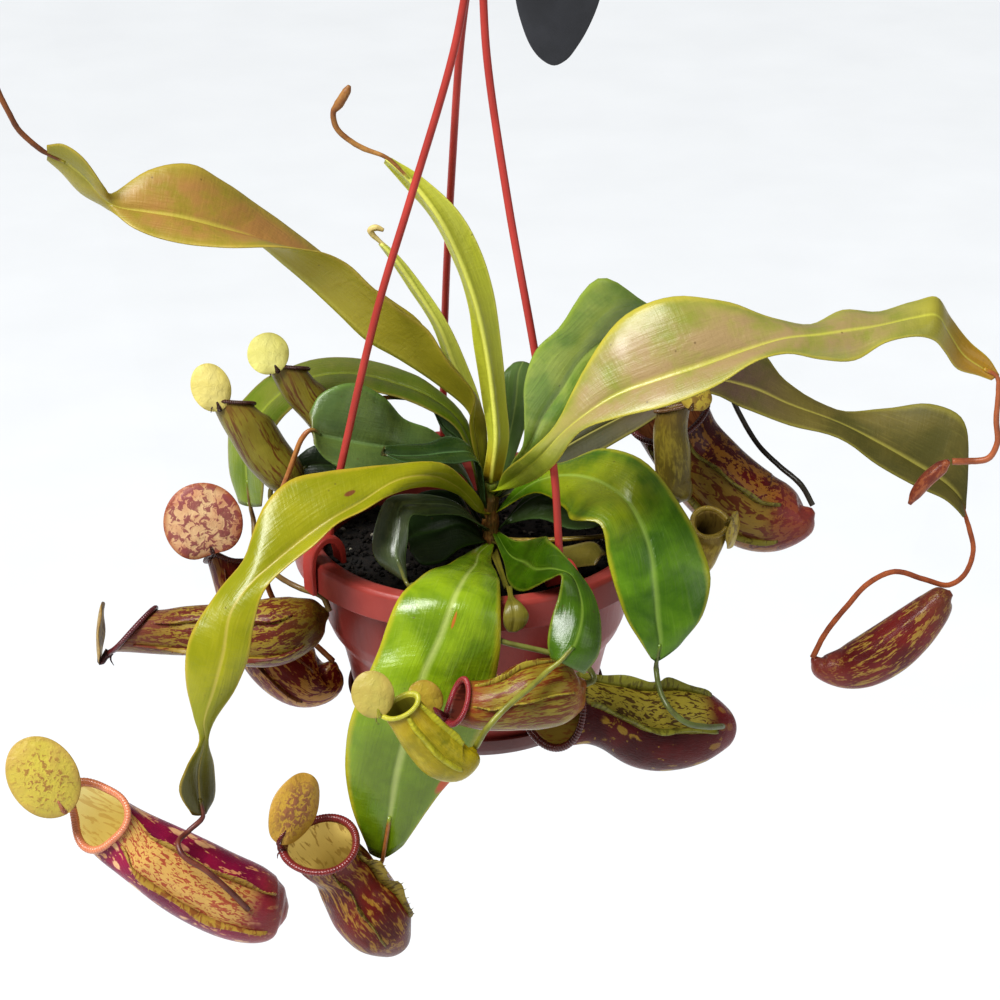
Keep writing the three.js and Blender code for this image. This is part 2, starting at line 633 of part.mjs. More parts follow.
// Leaf 12: narrow base, broad folded blade to the right of the middle
leaf('leaf_12', 'leaf_green', {
  from: [340, 12],
  rows: [
    [[14, -20, 34], [15, -20, 33], [17, -22, 32]],
    [[18, -49, 56], [20, -48, 54], [23, -48, 52]],
    [[18, -54, 70], [25, -53, 68], [31, -54, 66]],
    [[18, -56, 81], [31, -54, 78], [40, -54, 74]],
    [[22, -56, 94], [38, -52, 89], [49, -50, 79]],
    [[30, -55, 102], [46, -48, 95], [60, -44, 84]],
    [[44, -50, 119], [57, -42, 99], [69, -36, 86]],
    [[62, -38, 105], [70, -30, 94], [79, -24, 83]],
    [[79, -18, 87], [84, -12, 80], [87, -10, 76]],
  ],
  tendril: [[91, 8, 69], [96, 36, 54], [103, 46, 30], [113, 43, 13], [121, 36, 7], [129, 29, 2],
    [133.6, 25.5, -5.3]],
});

// Leaf 13: the longest, arching out to the right
leaf('leaf_13', 'leaf_lime', {
  steps: 1,
  from: [290, 14],
  rows: [
    [[11, -22, 31], [15, -26, 31], [18, -29, 29]],
    [[20, -54, 54], [24, -56, 53], [29, -59, 51]],
    [[29, -60, 67], [33, -64, 67], [38, -68, 68]],
    [[41, -56, 90], [49, -66, 80], [52, -74, 76]],
    [[54, -52, 106], [64, -68, 87], [68, -78, 82]],
    [[71, -50, 112], [81, -66, 92], [84, -76, 88]],
    [[91, -48, 109], [96, -62, 96], [99, -70, 95]],
    [[107, -48, 103], [110, -58, 99], [111, -64, 96]],
    [[121, -44, 99], [123, -54, 99], [123, -60, 92]],
    [[133, -38, 102], [134, -50, 99], [136, -56, 90]],
    [[147, -34, 100], [145, -46, 99], [147, -52, 95]],
    [[160, -30, 102], [160, -40, 100], [159, -46, 95]],
    [[168, -30, 104], [167, -38, 100], [166, -42, 92]],
    [[174, -28, 95], [173, -34, 91], [171, -38, 86]],
    [[182, -28, 85], [179, -32, 82], [177, -33, 77]],
    [[189, -29, 79], [187, -31, 76], [185, -32, 74]],
    [[193, -30, 73], [192, -31, 73], [190, -32, 72]],
  ],
  tendril: [[193, -31, 68], [193, -31, 56], [194, -31, 46], [191, -31, 40], [184, -30, 38.5],
    [178, -30, 38.4]],
  end: 1.3,
});

// Leaf 14: long and broad, out to the right at the back
leaf('leaf_14', 'leaf_lime', {
  steps: 1,
  from: [30, 10],
  rows: [
    [[33, 14, 28], [34, 11, 26], [35, 4, 20]],
    [[60, 20, 43], [61, 17, 39], [62, 10, 34]],
    [[87, 26, 56], [87, 22, 50], [88, 16, 47]],
    [[110, 30, 59], [107, 24, 46], [104, 18, 40]],
    [[121, 30, 46], [122, 24, 39], [122, 17, 33]],
    [[142, 32, 33], [142, 24, 31], [141, 16, 28]],
    [[160, 32, 33], [158, 22, 23], [157, 14, 17]],
    [[178, 30, 36], [172, 20, 15], [172, 12, 9]],
    [[190, 26, 32], [184, 17, 8], [183, 11, 4]],
    [[193, 22, 20], [190, 15, 2], [188, 10, 0]],
    [[191, 18, 5], [192, 14, -4], [191, 11, -4]],
  ],
  tendril: [[194, 13, -10], [196, 12, -19], [193, 11, -29], [187, 10, -33], [177, 9, -30],
    [165, 8, -26], [155, 8, -31], [147, 8, -41], [139, 8, -53], [134.3, 8, -63.9]],
});

// Leaf 15: small new leaf beside the top of the stem
leaf('leaf_15', 'leaf_lime', {
  steps: 1,
  from: [75, 5],
  rows: [
    [[10, 14, 33], [14, 14, 33], [19, 16, 32]],
    [[10, 18, 44], [16, 18, 44], [22, 20, 42]],
    [[11, 22, 52], [17, 23, 53], [23, 24, 49]],
    [[15, 27, 55], [19, 27, 56], [22, 28, 54]],
  ],
});

// Leaf 16: small dark leaf behind leaf 11
leaf('leaf_16', 'leaf_dark', {
  steps: 1,
  from: [10, -3],
  rows: [
    [[25, -10, 6], [25, -3, 12], [25, 2, 15]],
    [[38, -22, 7], [40, -9, 14], [42, 0, 17]],
    [[53, -24, 12], [55, -11, 16], [56, -1, 18]],
    [[63, -14, 16], [64, -10, 16], [65, -6, 16]],
  ],
  tendril: [[69, -8, 12], [74, -2, 4.5], [77, 1, 3], [78, 2, 6.8]],
});

// Leaf 17: low dark leaf at the left
leaf('leaf_17', 'leaf_dark', {
  steps: 1,
  from: [211, -7],
  rows: [
    [[-5, -12, -5], [-6, -8, 3], [-7, 0, 12]],
    [[-13, -23, -6], [-15, -14, 3], [-17, -1, 14]],
    [[-21, -30, -3], [-23, -20, 4], [-25, -5, 12]],
    [[-25, -28, 2], [-26, -24, 4], [-26, -20, 6]],
  ],
});

// Leaf 18: small upright dark leaf at the left of the crown
leaf('leaf_18', 'leaf_dark', {
  steps: 1,
  from: [205, 7],
  rows: [
    [[1, -8, 29], [-1, -5, 31], [-3, -2, 34]],
    [[-8, -14, 31], [-9, -10, 34], [-10, -2, 37]],
    [[-17, -20, 34], [-19, -15, 35], [-18, -8, 37]],
    [[-26, -24, 36], [-28, -20, 37], [-27, -14, 39]],
    [[-33, -24, 39], [-35, -22, 39], [-34, -20, 41]],
  ],
});

// Leaf 19: dark leaf along the left of the pot, behind leaf 5
leaf('leaf_19', 'leaf_dark', {
  steps: 1,
  from: [158, -5],
  rows: [
    [[-14, 14, 16], [-14, 16, 18], [-14, 18, 21]],
    [[-31, 14, 12], [-32, 18, 16], [-32, 20, 19]],
    [[-51, 14, 10], [-53, 18, 16], [-52, 21, 22]],
    [[-64, 14, 9], [-65, 18, 16], [-63, 21, 23]],
    [[-74, 15, 8], [-75, 17, 10], [-75, 19, 13]],
  ],
  tendril: [[-79, 16, 8], [-79, 10, 5], [-72, 4, 5], [-67, 2, 8], [-66.6, 2, 10.8]],
});

// Leaf 20: small olive leaf on a thin stalk beside leaf 8, over the front of the rim
leaf('leaf_20', 'leaf_green', {
  steps: 1,
  from: [292, -10.4],
  rows: [
    [[11, -25, -9.6], [10, -25, -9.6], [9, -25, -9.6]],
    [[13, -50, -4], [12, -50, -4], [11, -50, -4]],
    [[13.5, -61, 2.4], [12.5, -61, 2.6], [11.5, -61, 2.4]],
    [[14, -69.5, 2.5], [13, -70, 2.5], [12, -69.5, 2.2]],
    [[17, -75, 2.2], [14, -75.5, 2.4], [11, -74.5, 1.8]],
    [[19.3, -77, -1], [14.5, -78, -1], [10.3, -77, -1]],
    [[18, -77.5, -5], [14, -78, -5], [10.5, -77.5, -5]],
    [[15, -77.5, -7.5], [13.5, -77.7, -7.7], [12, -77.5, -7.5]],
  ],
});

// Leaf 21: old olive leaf lying low inside the right of the rim
leaf('leaf_21', 'leaf_green', {
  steps: 1,
  from: [305, -6.8],
  rows: [
    [[22, -9, -8.5], [22, -12, -8], [21, -15, -9.5]],
    [[34, -15, -5], [36, -20, -1], [33, -26, -7]],
    [[44, -20, -1], [45, -27, 4], [42, -33, -3]],
    [[50, -31, 1], [48, -34, 3], [45, -38, 0]],
  ],
});

// Pitcher: a hollow cup on a bent centre line, with a rolled lip, a lid on a neck and two wings.
// Each station is [x, y, z, radius], from the tendril to the mouth.
function pitcherStations(spine, mouth, steps) {
  const path = new THREE.CatmullRomCurve3(spine.map(vec), false, 'centripetal');
  const count = (spine.length - 1) * steps;
  const stations = [];
  for (let i = 0; i <= count; i += 1) {
    const at = i / steps;
    const k = Math.min(Math.floor(at), spine.length - 2);
    const previous = spine[Math.max(0, k - 1)][3];
    const next = spine[Math.min(spine.length - 1, k + 2)][3];
    const t = at - k;
    const [a, b] = [spine[k][3], spine[k + 1][3]];
    const radius = 0.5 * (2 * a + (b - previous) * t
      + (2 * previous - 5 * a + 4 * b - next) * t * t
      + (3 * a - previous - 3 * b + next) * t * t * t);
    stations.push({ centre: path.getPoint(i / count), tangent: path.getTangent(i / count), radius });
  }
  const end = stations.at(-1);
  for (const station of stations) {
    const away = station.centre.distanceTo(end.centre);
    const share = mouth ? 1 - away / (2.4 * end.radius) : 0;
    station.normal = mouth ? mix(station.tangent, mouth, smooth(share)).normalize()
      : station.tangent;
  }
  return stations;
}

// Domed oval lid; tip points from its hinge end to its free end
function lidPlate({ centre, normal, tip, long, wide, notch = 0 }) {
  const n = vec(normal).normalize();
  const middle = vec(centre);
  const back = tip.clone().negate();
  back.addScaledVector(n, -back.dot(n)).normalize();
  const side = n.clone().cross(back);
  const sides = 10;
  const rim = (share, lift) => Array.from({ length: sides }, (_, j) => {
    const angle = (2 * Math.PI * j) / sides;
    const pull = share * (1 - notch * Math.exp(-((Math.min(angle, 2 * Math.PI - angle) / 0.5) ** 2)));
    return middle.clone().addScaledVector(back, long * pull * Math.cos(angle))
      .addScaledVector(side, wide * pull * Math.sin(angle)).addScaledVector(n, lift);
  });
  const half = LID_THICKNESS / 2;
  const dome = 0.14 * long;
  const plateBody = loft([rim(0.55, dome * 0.7 - half), rim(1, -half), rim(1, half),
    rim(0.55, dome * 0.7 + half)]);
  const joint = middle.clone().addScaledVector(back, long * (0.93 - notch));
  const inner = middle.clone().addScaledVector(back, long * 0.7).addScaledVector(n, dome * 0.45);
  return [plateBody, joint, inner];
}

function wing(stations, towards, side, height) {
  const shown = stations.slice(2, -2);
  const rings = shown.map(({ centre, normal, radius }, i) => {
    const u = towards.clone().addScaledVector(normal, -towards.dot(normal)).normalize();
    const w = normal.clone().cross(u);
    const angle = side * 0.55;
    const out = u.clone().multiplyScalar(Math.cos(angle)).addScaledVector(w, Math.sin(angle));
    const thick = normal.clone().cross(out).multiplyScalar(WING_THICKNESS / 2);
    const rise = height * (0.25 + 0.75 * Math.sin(Math.PI * (i + 0.6) / (shown.length + 0.2)));
    const root = centre.clone().addScaledVector(out, radius - 0.9);
    const edge = centre.clone().addScaledVector(out, radius + rise);
    return [root.clone().sub(thick), edge.clone().sub(thick), edge.clone().add(thick),
      root.clone().add(thick)];
  });
  return loft(rings);
}

function pitcher(name, colour, details) {
  const { spine, mouth, front, lid, stalk, wings = 0, sides = 12, steps = 1 } = details;
  const lip = details.lip ?? LIP_WIDTH;
  const towards = vec(front).normalize();
  const open = mouth ? vec(mouth).normalize() : null;
  const stations = pitcherStations(spine, open, steps);
  const outside = stations.map((s) => ring(s.centre, s.normal, towards, s.radius, sides));
  if (!open) {
    addMesh(name, loft(outside), colour);
    return;
  }
  const end = stations.at(-1);
  const lipProfile = [[1, 0.3], [0.6, 0.9], [0, 0.6]];
  const lipRings = lipProfile.map(([out, up]) => ring(end.centre.clone()
    .addScaledVector(end.normal, up * lip), end.normal, towards, end.radius + out * lip, sides));
  const inner = stations.filter((s, i) => i >= stations.length * (details.floor ?? 0.4)
    && i < stations.length - 1).reverse();
  const insideRings = [
    ring(end.centre, end.normal, towards, end.radius - PITCHER_WALL, sides),
    ...inner.map((s) => ring(s.centre, s.normal, towards, s.radius - PITCHER_WALL, sides)),
  ];
  let solid = loft([...outside, ...lipRings, ...insideRings]);
  for (const side of wings ? [-1, 1] : []) {
    solid = solid.add(wing(stations, towards, side, wings));
  }
  if (stalk) solid = solid.add(rod(stalk.map((p) => [...p, TENDRIL_RADIUS])));
  if (lid) {
    const reach = vec(lid.hinge ?? lid.centre).sub(end.centre);
    reach.addScaledVector(end.normal, -reach.dot(end.normal)).setLength(end.radius + 0.4 * lip);
    const root = end.centre.clone().add(reach).addScaledVector(end.normal, 0.4 * lip);
    const tip = lid.tip ? vec(lid.tip) : vec(lid.centre).sub(root);
    const [plateBody, joint, inner] = lidPlate({ ...lid, tip });
    const neck = root.distanceTo(joint) > 3
      ? [[root, 1.3], [mix(root, joint, 0.5), 1.3], [joint, 1.1], [inner, 0.6]]
      : [[root, 1.3], [inner, 0.6]];
    solid = solid.add(plateBody).add(rod(neck.map(([p, r]) => [p.x, p.y, p.z, r]), 5, 1));
  }
  addMesh(name, solid, colour);
}

pitcher('pitcher_01', 'pitcher_orange', {
  sides: 10,
  spine: [[-73.5, -72, -130.5, 5], [-75.5, -72, -130, 9.5], [-79.5, -72.5, -129, 12.8],
    [-86, -73.5, -126.5, 14.8], [-96, -75, -121, 15.7],
    [-108, -76, -113, 15.5], [-121, -77, -103, 14], [-132, -78, -94, 12.5], [-141, -79, -84, 11.5]],
  mouth: [-0.45, -0.75, 0.5],
  front: [0, -0.9, 0.43],
  wings: 4,
  lid: { centre: [-160, -84, -64], normal: [0.2, -0.9, 0.3], tip: [-0.5, 0.2, 0.85],
    long: 16.5, wide: 12.8 },
});

pitcher('pitcher_02', 'pitcher_orange', {
  sides: 10,
  spine: [[-30, -86, -136, 2.5], [-32, -90, -131, 8], [-36, -92, -124, 13], [-41, -93, -115, 14.2],
    [-46, -94, -106, 12.5], [-50, -95, -97, 11.5], [-54, -96, -92, 12], [-57, -97, -86, 13]],
  mouth: [-0.15, -0.3, 0.94],
  front: [0.6, -0.75, 0.2],
  wings: 3.5,
  lid: { centre: [-67, -94, -72], normal: [0.5, -0.8, 0.3], tip: [5.8, 7.5, 10.2],
    hinge: [-70, -98, -86], long: 14, wide: 9.5 },
});

pitcher('pitcher_03', 'pitcher_olive', {
  spine: [[-56, -6, -59, 2.5], [-59, -6, -64, 9], [-67, -7, -64, 12], [-77, -8, -56, 12.5],
    [-85, -9, -45, 10.5], [-91, -10, -32, 8], [-94, -11, -20, 7], [-96, -12, -11, 7]],
  mouth: [0, 0.43, 0.9],
  front: [0.4, -0.9, 0],
  wings: 3,
  sides: 8,
  lid: { centre: [-103, -20, 9.5], normal: [0.1, -0.95, 0.3], long: 15.5, wide: 15, notch: 0.2 },
});

pitcher('pitcher_04', 'pitcher_red', {
  sides: 10,
  spine: [[-57, -30, -24, 2.5], [-60, -30, -25, 7], [-67, -31, -28, 11], [-77, -32, -31, 13],
    [-90, -33, -31, 12], [-103, -34, -29, 10], [-114, -34, -29, 9.6], [-129, -34, -29, 11]],
  mouth: [-0.74, 0.29, 0.61],
  front: [0, -0.9, 0.2],
  wings: 3,
  lid: { centre: [-142, -34, -30], normal: [-1, 0, 0.05], long: 12, wide: 9 },
});

pitcher('pitcher_05', 'pitcher_olive', {
  spine: [[-1, -118, -34, 1.8], [-2, -119, -35, 5], [-7, -121, -36, 8], [-12, -122, -33, 9],
    [-17, -123, -27, 8.6], [-21, -124, -21, 7.8], [-24, -124, -16, 7], [-26, -124, -13, 6.6]],
  mouth: [-0.45, -0.06, 0.9],
  front: [0.5, -0.7, 0.5],
  wings: 2,
  sides: 8,
  lip: 1.2,
  lid: { centre: [-36, -124, -8], normal: [0.1, -0.9, 0.4], long: 8.5, wide: 7.5 },
});

pitcher('pitcher_06', 'pitcher_olive', {
  spine: [[39, -87, -24, 2.5], [36, -88, -25, 8.5], [29, -91, -25, 12.4], [19, -95, -25, 12.4],
    [10, -98, -26, 10], [2, -99, -26, 9], [-6, -99, -25, 8]],
  mouth: [-0.89, -0.2, 0.4],
  front: [0, -0.6, 0.8],
  wings: 3,
  lip: 1.4,
  lid: { centre: [-18, -101, -22], normal: [0.1, -0.95, 0.3], long: 7, wide: 6 },
});

pitcher('pitcher_07', 'pitcher_red', {
  sides: 10,
  spine: [[97, -50, -63, 2.5], [94, -52, -62, 8], [86, -55, -60, 13.5], [75, -58, -58, 16.5],
    [64, -60, -56, 16.5], [51, -62, -51, 13.5], [41, -64, -48, 12.5], [29, -66, -46, 14]],
  mouth: [-0.6, -0.7, 0.3],
  front: [0, -0.6, 0.8],
  wings: 5,
});

pitcher('pitcher_08', 'pitcher_red', {
  spine: [[135, 8, -65, 1.8], [138, 8, -68, 5], [146, 8, -69, 8], [154, 7, -66, 10], [164, 6, -59, 10.5],
    [173, 5, -50, 9.5], [180, 4, -41, 7.5], [184, 3, -35, 5], [187, 3, -33, 1.2]],
  front: [0, -1, 0],
});

pitcher('pitcher_09', 'pitcher_orange', {
  sides: 10,
  spine: [[133, 25, -8, 2.5], [130, 25, -10, 8], [122, 27, -11, 13.5], [111, 29, -9, 16],
    [100, 31, -1, 16], [90, 33, 9, 15.5], [82, 35, 19, 15], [76, 36, 30, 15.5]],
  mouth: [-0.3, -0.3, 0.9],
  front: [-0.3, -0.9, 0.2],
  wings: 4,
});

pitcher('pitcher_10', 'pitcher_olive', {
  spine: [[78, 2, 8, 1.8], [79, 2, 11, 5], [77, 3, 16, 6.5], [76, 4, 27, 7], [75, 5, 37, 6.5],
    [76, 6, 45, 6.5]],
  mouth: [-0.2, 0.3, 0.93],
  front: [0, -1, 0],
  sides: 8,
  steps: 2,
  lip: 1.2,
  lid: { centre: [84, 5, 51], normal: [0.3, -0.6, 0.7], long: 7, wide: 7 },
});

pitcher('pitcher_11', 'pitcher_olive', {
  spine: [[-67, 2, 12, 1.8], [-69, 2, 14, 5], [-73, 3, 19, 8], [-80, 5, 27, 9], [-86, 7, 37, 9],
    [-90, 8, 42, 8.5], [-93, 9, 46, 8]],
  mouth: [0, 0.43, 0.9],
  front: [0.5, -0.8, 0],
  sides: 8,
  lip: 1.2,
  lid: { centre: [-100, 3, 55.5], normal: [0.2, -0.9, 0.3], long: 9.5, wide: 7.5 },
});

pitcher('pitcher_12', 'pitcher_olive', {
  spine: [[-47, 8, 31, 1.8], [-50, 8, 33, 4.5], [-55, 9, 37, 6.5], [-61, 10, 45, 7.2], [-67, 11, 52, 7.4],
    [-71.5, 12, 59, 7.4]],
  mouth: [0, 0.43, 0.9],
  front: [0.5, -0.8, 0],
  sides: 8,
  steps: 1,
  lip: 1.2,
  lid: { centre: [-78, 5, 68.5], normal: [0.2, -0.9, 0.3], long: 8, wide: 8 },
});

pitcher('pitcher_13', 'pitcher_olive', {
  spine: [[176, -30, 38, 1.5], [174, -30, 36, 2.6], [169, -30, 31, 2.8], [165, -30, 25, 2.2],
    [163, -30, 21, 0.8]],
  front: [0, -1, 0],
  sides: 8,
});

pitcher('pitcher_14', 'pitcher_red', {
  spine: [[76, -12, -16, 1.8], [79, -11, -16, 5], [84, -10, -12, 7.5], [87, -9, -7, 7.5],
    [90, -8, -2, 6.5], [90, -8, 3, 6.5]],
  mouth: [0, -0.5, 0.85],
  front: [-0.7, -0.7, 0],
  sides: 8,
  steps: 2,
  lip: 1.2,
  lid: { centre: [99, -8, 0], normal: [0.9, -0.4, -0.1], long: 9, wide: 7 },
  stalk: [[10, 0.3, -7.5], [20, -4, -6], [45, -12, -1], [62, -15, 2.4], [71, -14, 1.4],
    [73.5, -13, -8], [74, -12, -15], [76.5, -12, -16]],
});

export default group;
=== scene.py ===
import math
import random

import bmesh
import bpy
import numpy as np
from mathutils import Matrix, Vector, noise


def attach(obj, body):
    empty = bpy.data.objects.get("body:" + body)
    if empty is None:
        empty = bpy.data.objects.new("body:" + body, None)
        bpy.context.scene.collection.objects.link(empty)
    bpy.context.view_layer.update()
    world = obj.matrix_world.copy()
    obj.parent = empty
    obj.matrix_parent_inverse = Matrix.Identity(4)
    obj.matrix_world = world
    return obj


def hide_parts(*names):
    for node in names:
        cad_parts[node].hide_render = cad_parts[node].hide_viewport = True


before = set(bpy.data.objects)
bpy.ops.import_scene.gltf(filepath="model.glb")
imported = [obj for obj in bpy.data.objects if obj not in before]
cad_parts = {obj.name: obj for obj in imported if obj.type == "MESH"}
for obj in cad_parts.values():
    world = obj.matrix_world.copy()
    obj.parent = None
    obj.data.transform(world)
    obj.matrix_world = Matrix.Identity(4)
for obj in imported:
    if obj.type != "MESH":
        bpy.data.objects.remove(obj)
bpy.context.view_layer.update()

# ---------------------------------------------------------------------------------------------
# Viewpoint
# The plant is laid out in millimetres from the middle of the pot's rim and hangs from the
# inside of its hook, which is the frame's origin. The camera looks slightly down on it.
HANG_POINT = np.array([2.0, 0.0, 277.0])


def placed(points):
    """Points in millimetres from the rim's middle, as metres in the frame."""
    return (np.asarray(points, float) - HANG_POINT) / 1000


camera = bpy.data.objects.new("camera", bpy.data.cameras.new("camera"))
camera.data.lens = 108
camera.data.sensor_width = 36
camera.data.clip_end = 30
camera.location = placed([0, -1048.7, 495.7])
looked_at = Vector(placed([9.7, 3.6, 7.7]))
camera.rotation_euler = (looked_at - camera.location).to_track_quat("-Z", "Y").to_euler()
bpy.context.scene.collection.objects.link(camera)
bpy.context.scene.camera = camera

# ---------------------------------------------------------------------------------------------
# Light
# A broad soft light from above at the left, a window at the left and a weaker one at the right,
# and pale walls all round. Colours are shown plainly, with a little added contrast.
world = bpy.data.worlds.new("pale room")
bpy.context.scene.world = world
world.use_nodes = True
walls = world.node_tree.nodes["Background"]
walls.inputs["Color"].default_value = (1.0, 0.985, 0.96, 1)
walls.inputs["Strength"].default_value = 0.24
bpy.context.scene.view_settings.view_transform = "Standard"
bpy.context.scene.view_settings.look = "Medium High Contrast"
PLANT_MIDDLE = Vector((0, 0, -0.28))


def lamp(name, kind, at, strength, **settings):
    """A light that looks from `at` to the middle of the plant."""
    light = bpy.data.objects.new(name, bpy.data.lights.new(name, kind))
    light.data.energy = strength
    for key, value in settings.items():
        setattr(light.data, key, value)
    light.location = at
    light.rotation_euler = (PLANT_MIDDLE - Vector(at)).to_track_quat("-Z", "Y").to_euler()
    bpy.context.scene.collection.objects.link(light)


lamp("soft light above", "SUN", at=(-0.85, -0.75, 1.8), strength=2.45, angle=math.radians(28))
lamp("window left", "AREA", at=(-1.2, -0.9, 1.0), strength=22, size=0.55)
lamp("window right", "AREA", at=(1.5, -0.9, 0.4), strength=4, size=1.0)


# ---------------------------------------------------------------------------------------------
# Floor
# A plain pale floor, well below the hanging plant, with a faint grain so that it isn't flat.
class Socket:
    """An output of a shader node, so that sums on it read as plain maths."""

    def __init__(self, finish, socket):
        self.finish = finish
        self.socket = socket

    def maths(self, operation, *values):
        return self.finish.node("ShaderNodeMath", {"operation": operation}, dict(enumerate(values)))

    def __add__(self, other):
        return self.maths("ADD", self, other)

    def __sub__(self, other):
        return self.maths("SUBTRACT", self, other)

    def __rsub__(self, other):
        return self.maths("SUBTRACT", other, self)

    def __mul__(self, other):
        return self.maths("MULTIPLY", self, other)

    def __truediv__(self, other):
        return self.maths("DIVIDE", self, other)

    def __abs__(self):
        return self.maths("ABSOLUTE", self)

    __radd__ = __add__
    __rmul__ = __mul__

    def between(self, low, high):
        """0 below low, 1 above high, with a soft step between them."""
        return self.finish.node("ShaderNodeMapRange", {"interpolation_type": "SMOOTHSTEP"},
                                {0: self, 1: low, 2: high, 3: 0.0, 4: 1.0})


def tone(code):
    """A colour as written on a paint chart, #rrggbb, in the renderer's own scale."""
    parts = [int(code[i:i + 2], 16) / 255 for i in (1, 3, 5)]
    return (*[c / 12.92 if c < 0.04045 else ((c + 0.055) / 1.055) ** 2.4 for c in parts], 1)


class Finish:
    """A material, built up from nodes round its Principled shader."""

    def __init__(self, name):
        self.material = bpy.data.materials.new(name)
        self.material.use_nodes = True
        self.tree = self.material.node_tree
        self.shader = self.tree.nodes["Principled BSDF"]

    def node(self, kind, settings=None, values=None, out=0):
        """Any node: its settings first, then the values or links of its sockets."""
        made = self.tree.nodes.new(kind)
        for key, value in (settings or {}).items():
            setattr(made, key, value)
        for key, value in (values or {}).items():
            self.join(value, made.inputs[key])
        return Socket(self, made.outputs[out])

    def join(self, value, socket):
        if isinstance(value, Socket):
            self.tree.links.new(value.socket, socket)
        else:
            socket.default_value = tone(value) if isinstance(value, str) else value

    def shade(self, **values):
        for key, value in values.items():
            self.join(value, self.shader.inputs[key.replace("_", " ")])

    def place(self):
        return self.node("ShaderNodeTexCoord", out="Object")

    def kept(self, key):
        """What the form has kept at each point under `key`."""
        return self.node("ShaderNodeAttribute", {"attribute_name": key}, out=1)

    def lie(self, part):
        """One of the three parts of where a point lies on its piece."""
        return self.node("ShaderNodeSeparateXYZ", None, {0: self.kept("lie")}, out=part)

    def stretch(self, where, scale):
        return self.node("ShaderNodeVectorMath", {"operation": "MULTIPLY"}, {0: where, 1: scale})

    def noise(self, where, scale, detail=3.0, rough=0.5, warp=0.0):
        return self.node("ShaderNodeTexNoise", None, {
            "Vector": where, "Scale": scale, "Detail": detail, "Roughness": rough, "Distortion": warp})

    def mix(self, share, first, second):
        return self.node("ShaderNodeMix", {"data_type": "RGBA"}, {0: share, 6: first, 7: second}, out=2)

    def bump(self, height, depth):
        """A relief of the given depth in metres."""
        return self.node("ShaderNodeBump", None, {"Height": height, "Distance": depth, "Strength": 1.0})


def unit(v):
    return v / np.maximum(np.linalg.norm(v, axis=-1, keepdims=True), 1e-9)


class Form:
    """The surfaces of one piece. Each point also keeps where it lies on the piece: `lie` for the
    masks of its finish and `wrap`, its own coordinates in millimetres, for the pattern."""

    def __init__(self):
        self.points = []
        self.faces = []
        self.finish = []
        self.lie = []
        self.wrap = []
        self.count = 0

    def loft(self, rings, lie=None, wrap=None, finish=0, closed=False):
        """Skin through rows of rings with equal numbers of points, shut at both ends. `finish` is
        one number, or one for each span between two rings."""
        rings = np.asarray(rings, float)
        rows, sides = rings.shape[:2]
        lie = np.zeros_like(rings) if lie is None else np.broadcast_to(lie, rings.shape)
        wrap = rings if wrap is None else np.broadcast_to(wrap, rings.shape)
        here = self.count
        for store, values in ((self.points, rings), (self.lie, lie), (self.wrap, wrap)):
            store.append(values.reshape(-1, 3))
            if not closed:
                store.append(values[[0, -1]].mean(axis=1))
        self.count += rows * sides + (0 if closed else 2)
        spans = rows if closed else rows - 1
        kinds = [finish] * spans if isinstance(finish, int) else list(finish)
        faces = []
        for i in range(spans):
            a, b = here + i * sides, here + (i + 1) % rows * sides
            faces += [(a + j, a + (j + 1) % sides, b + (j + 1) % sides, b + j) for j in range(sides)]
        self.finish += [kind for kind in kinds for _ in range(sides)]
        if not closed:
            first, last, end = self.count - 2, self.count - 1, here + (rows - 1) * sides
            faces += [(first, here + (j + 1) % sides, here + j) for j in range(sides)]
            faces += [(last, end + j, end + (j + 1) % sides) for j in range(sides)]
            self.finish += [kinds[0]] * sides + [kinds[-1]] * sides
        self.faces += faces

    def make(self, name, finishes, sharp=None):
        mesh = bpy.data.meshes.new(name)
        mesh.from_pydata(placed(np.vstack(self.points)).tolist(), [], self.faces)
        for key, values in (("lie", self.lie), ("wrap", self.wrap)):
            kept = mesh.attributes.new(key, "FLOAT_VECTOR", "POINT")
            kept.data.foreach_set("vector", np.vstack(values).astype(np.float32).ravel())
        for finish in finishes:
            mesh.materials.append(finish)
        mesh.polygons.foreach_set("material_index", self.finish)
        outward = bmesh.new()
        outward.from_mesh(mesh)
        bmesh.ops.recalc_face_normals(outward, faces=outward.faces)
        outward.to_mesh(mesh)
        outward.free()
        mesh.shade_smooth()
        if sharp:
            mesh.set_sharp_from_angle(angle=math.radians(sharp))
        made = bpy.data.objects.new(name, mesh)
        bpy.context.scene.collection.objects.link(made)
        return made


def full_turn(sides):
    """The angles of equal steps round a circle."""
    return np.arange(sides) * 2 * math.pi / sides


def turned(profile, sides=160):
    """Rings of a turned shape; each point of the profile is [radius, height]."""
    angle = full_turn(sides)
    return np.array([np.stack([max(r, 0.02) * np.cos(angle), max(r, 0.02) * np.sin(angle),
                               np.full(sides, z)], axis=1) for r, z in profile])


pale = Finish("pale floor")
grain = pale.noise(pale.place(), 9.0, 4.0)
pale.shade(Base_Color=pale.mix(grain, "#e0e3e6", "#e8ebee"), Roughness=0.8)
FLOOR_TOP = -600
FLOOR_UNDERSIDE = -604
FLOOR_RADIUS = 5200
floor_form = Form()
floor_form.loft(turned([[0, FLOOR_UNDERSIDE], [FLOOR_RADIUS, FLOOR_UNDERSIDE],
                        [FLOOR_RADIUS, FLOOR_TOP], [0, FLOOR_TOP]], 64))
floor = floor_form.make("floor", [pale.material], sharp=30)


# ---------------------------------------------------------------------------------------------
# Pot and drip tray
# A shallow nursery pot of red-brown satin plastic: a rim with a hanging skirt, a tapered wall
# with a step for stacking, and a tray of the same plastic pressed on its foot. The tray is drawn
# much darker than the pot as painted shade, for the shadow under the pot.
def fitted(made, node):
    """Fastens a piece to the part, in place of the plain solid that it stands for."""
    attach(made, "root")
    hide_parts(node)


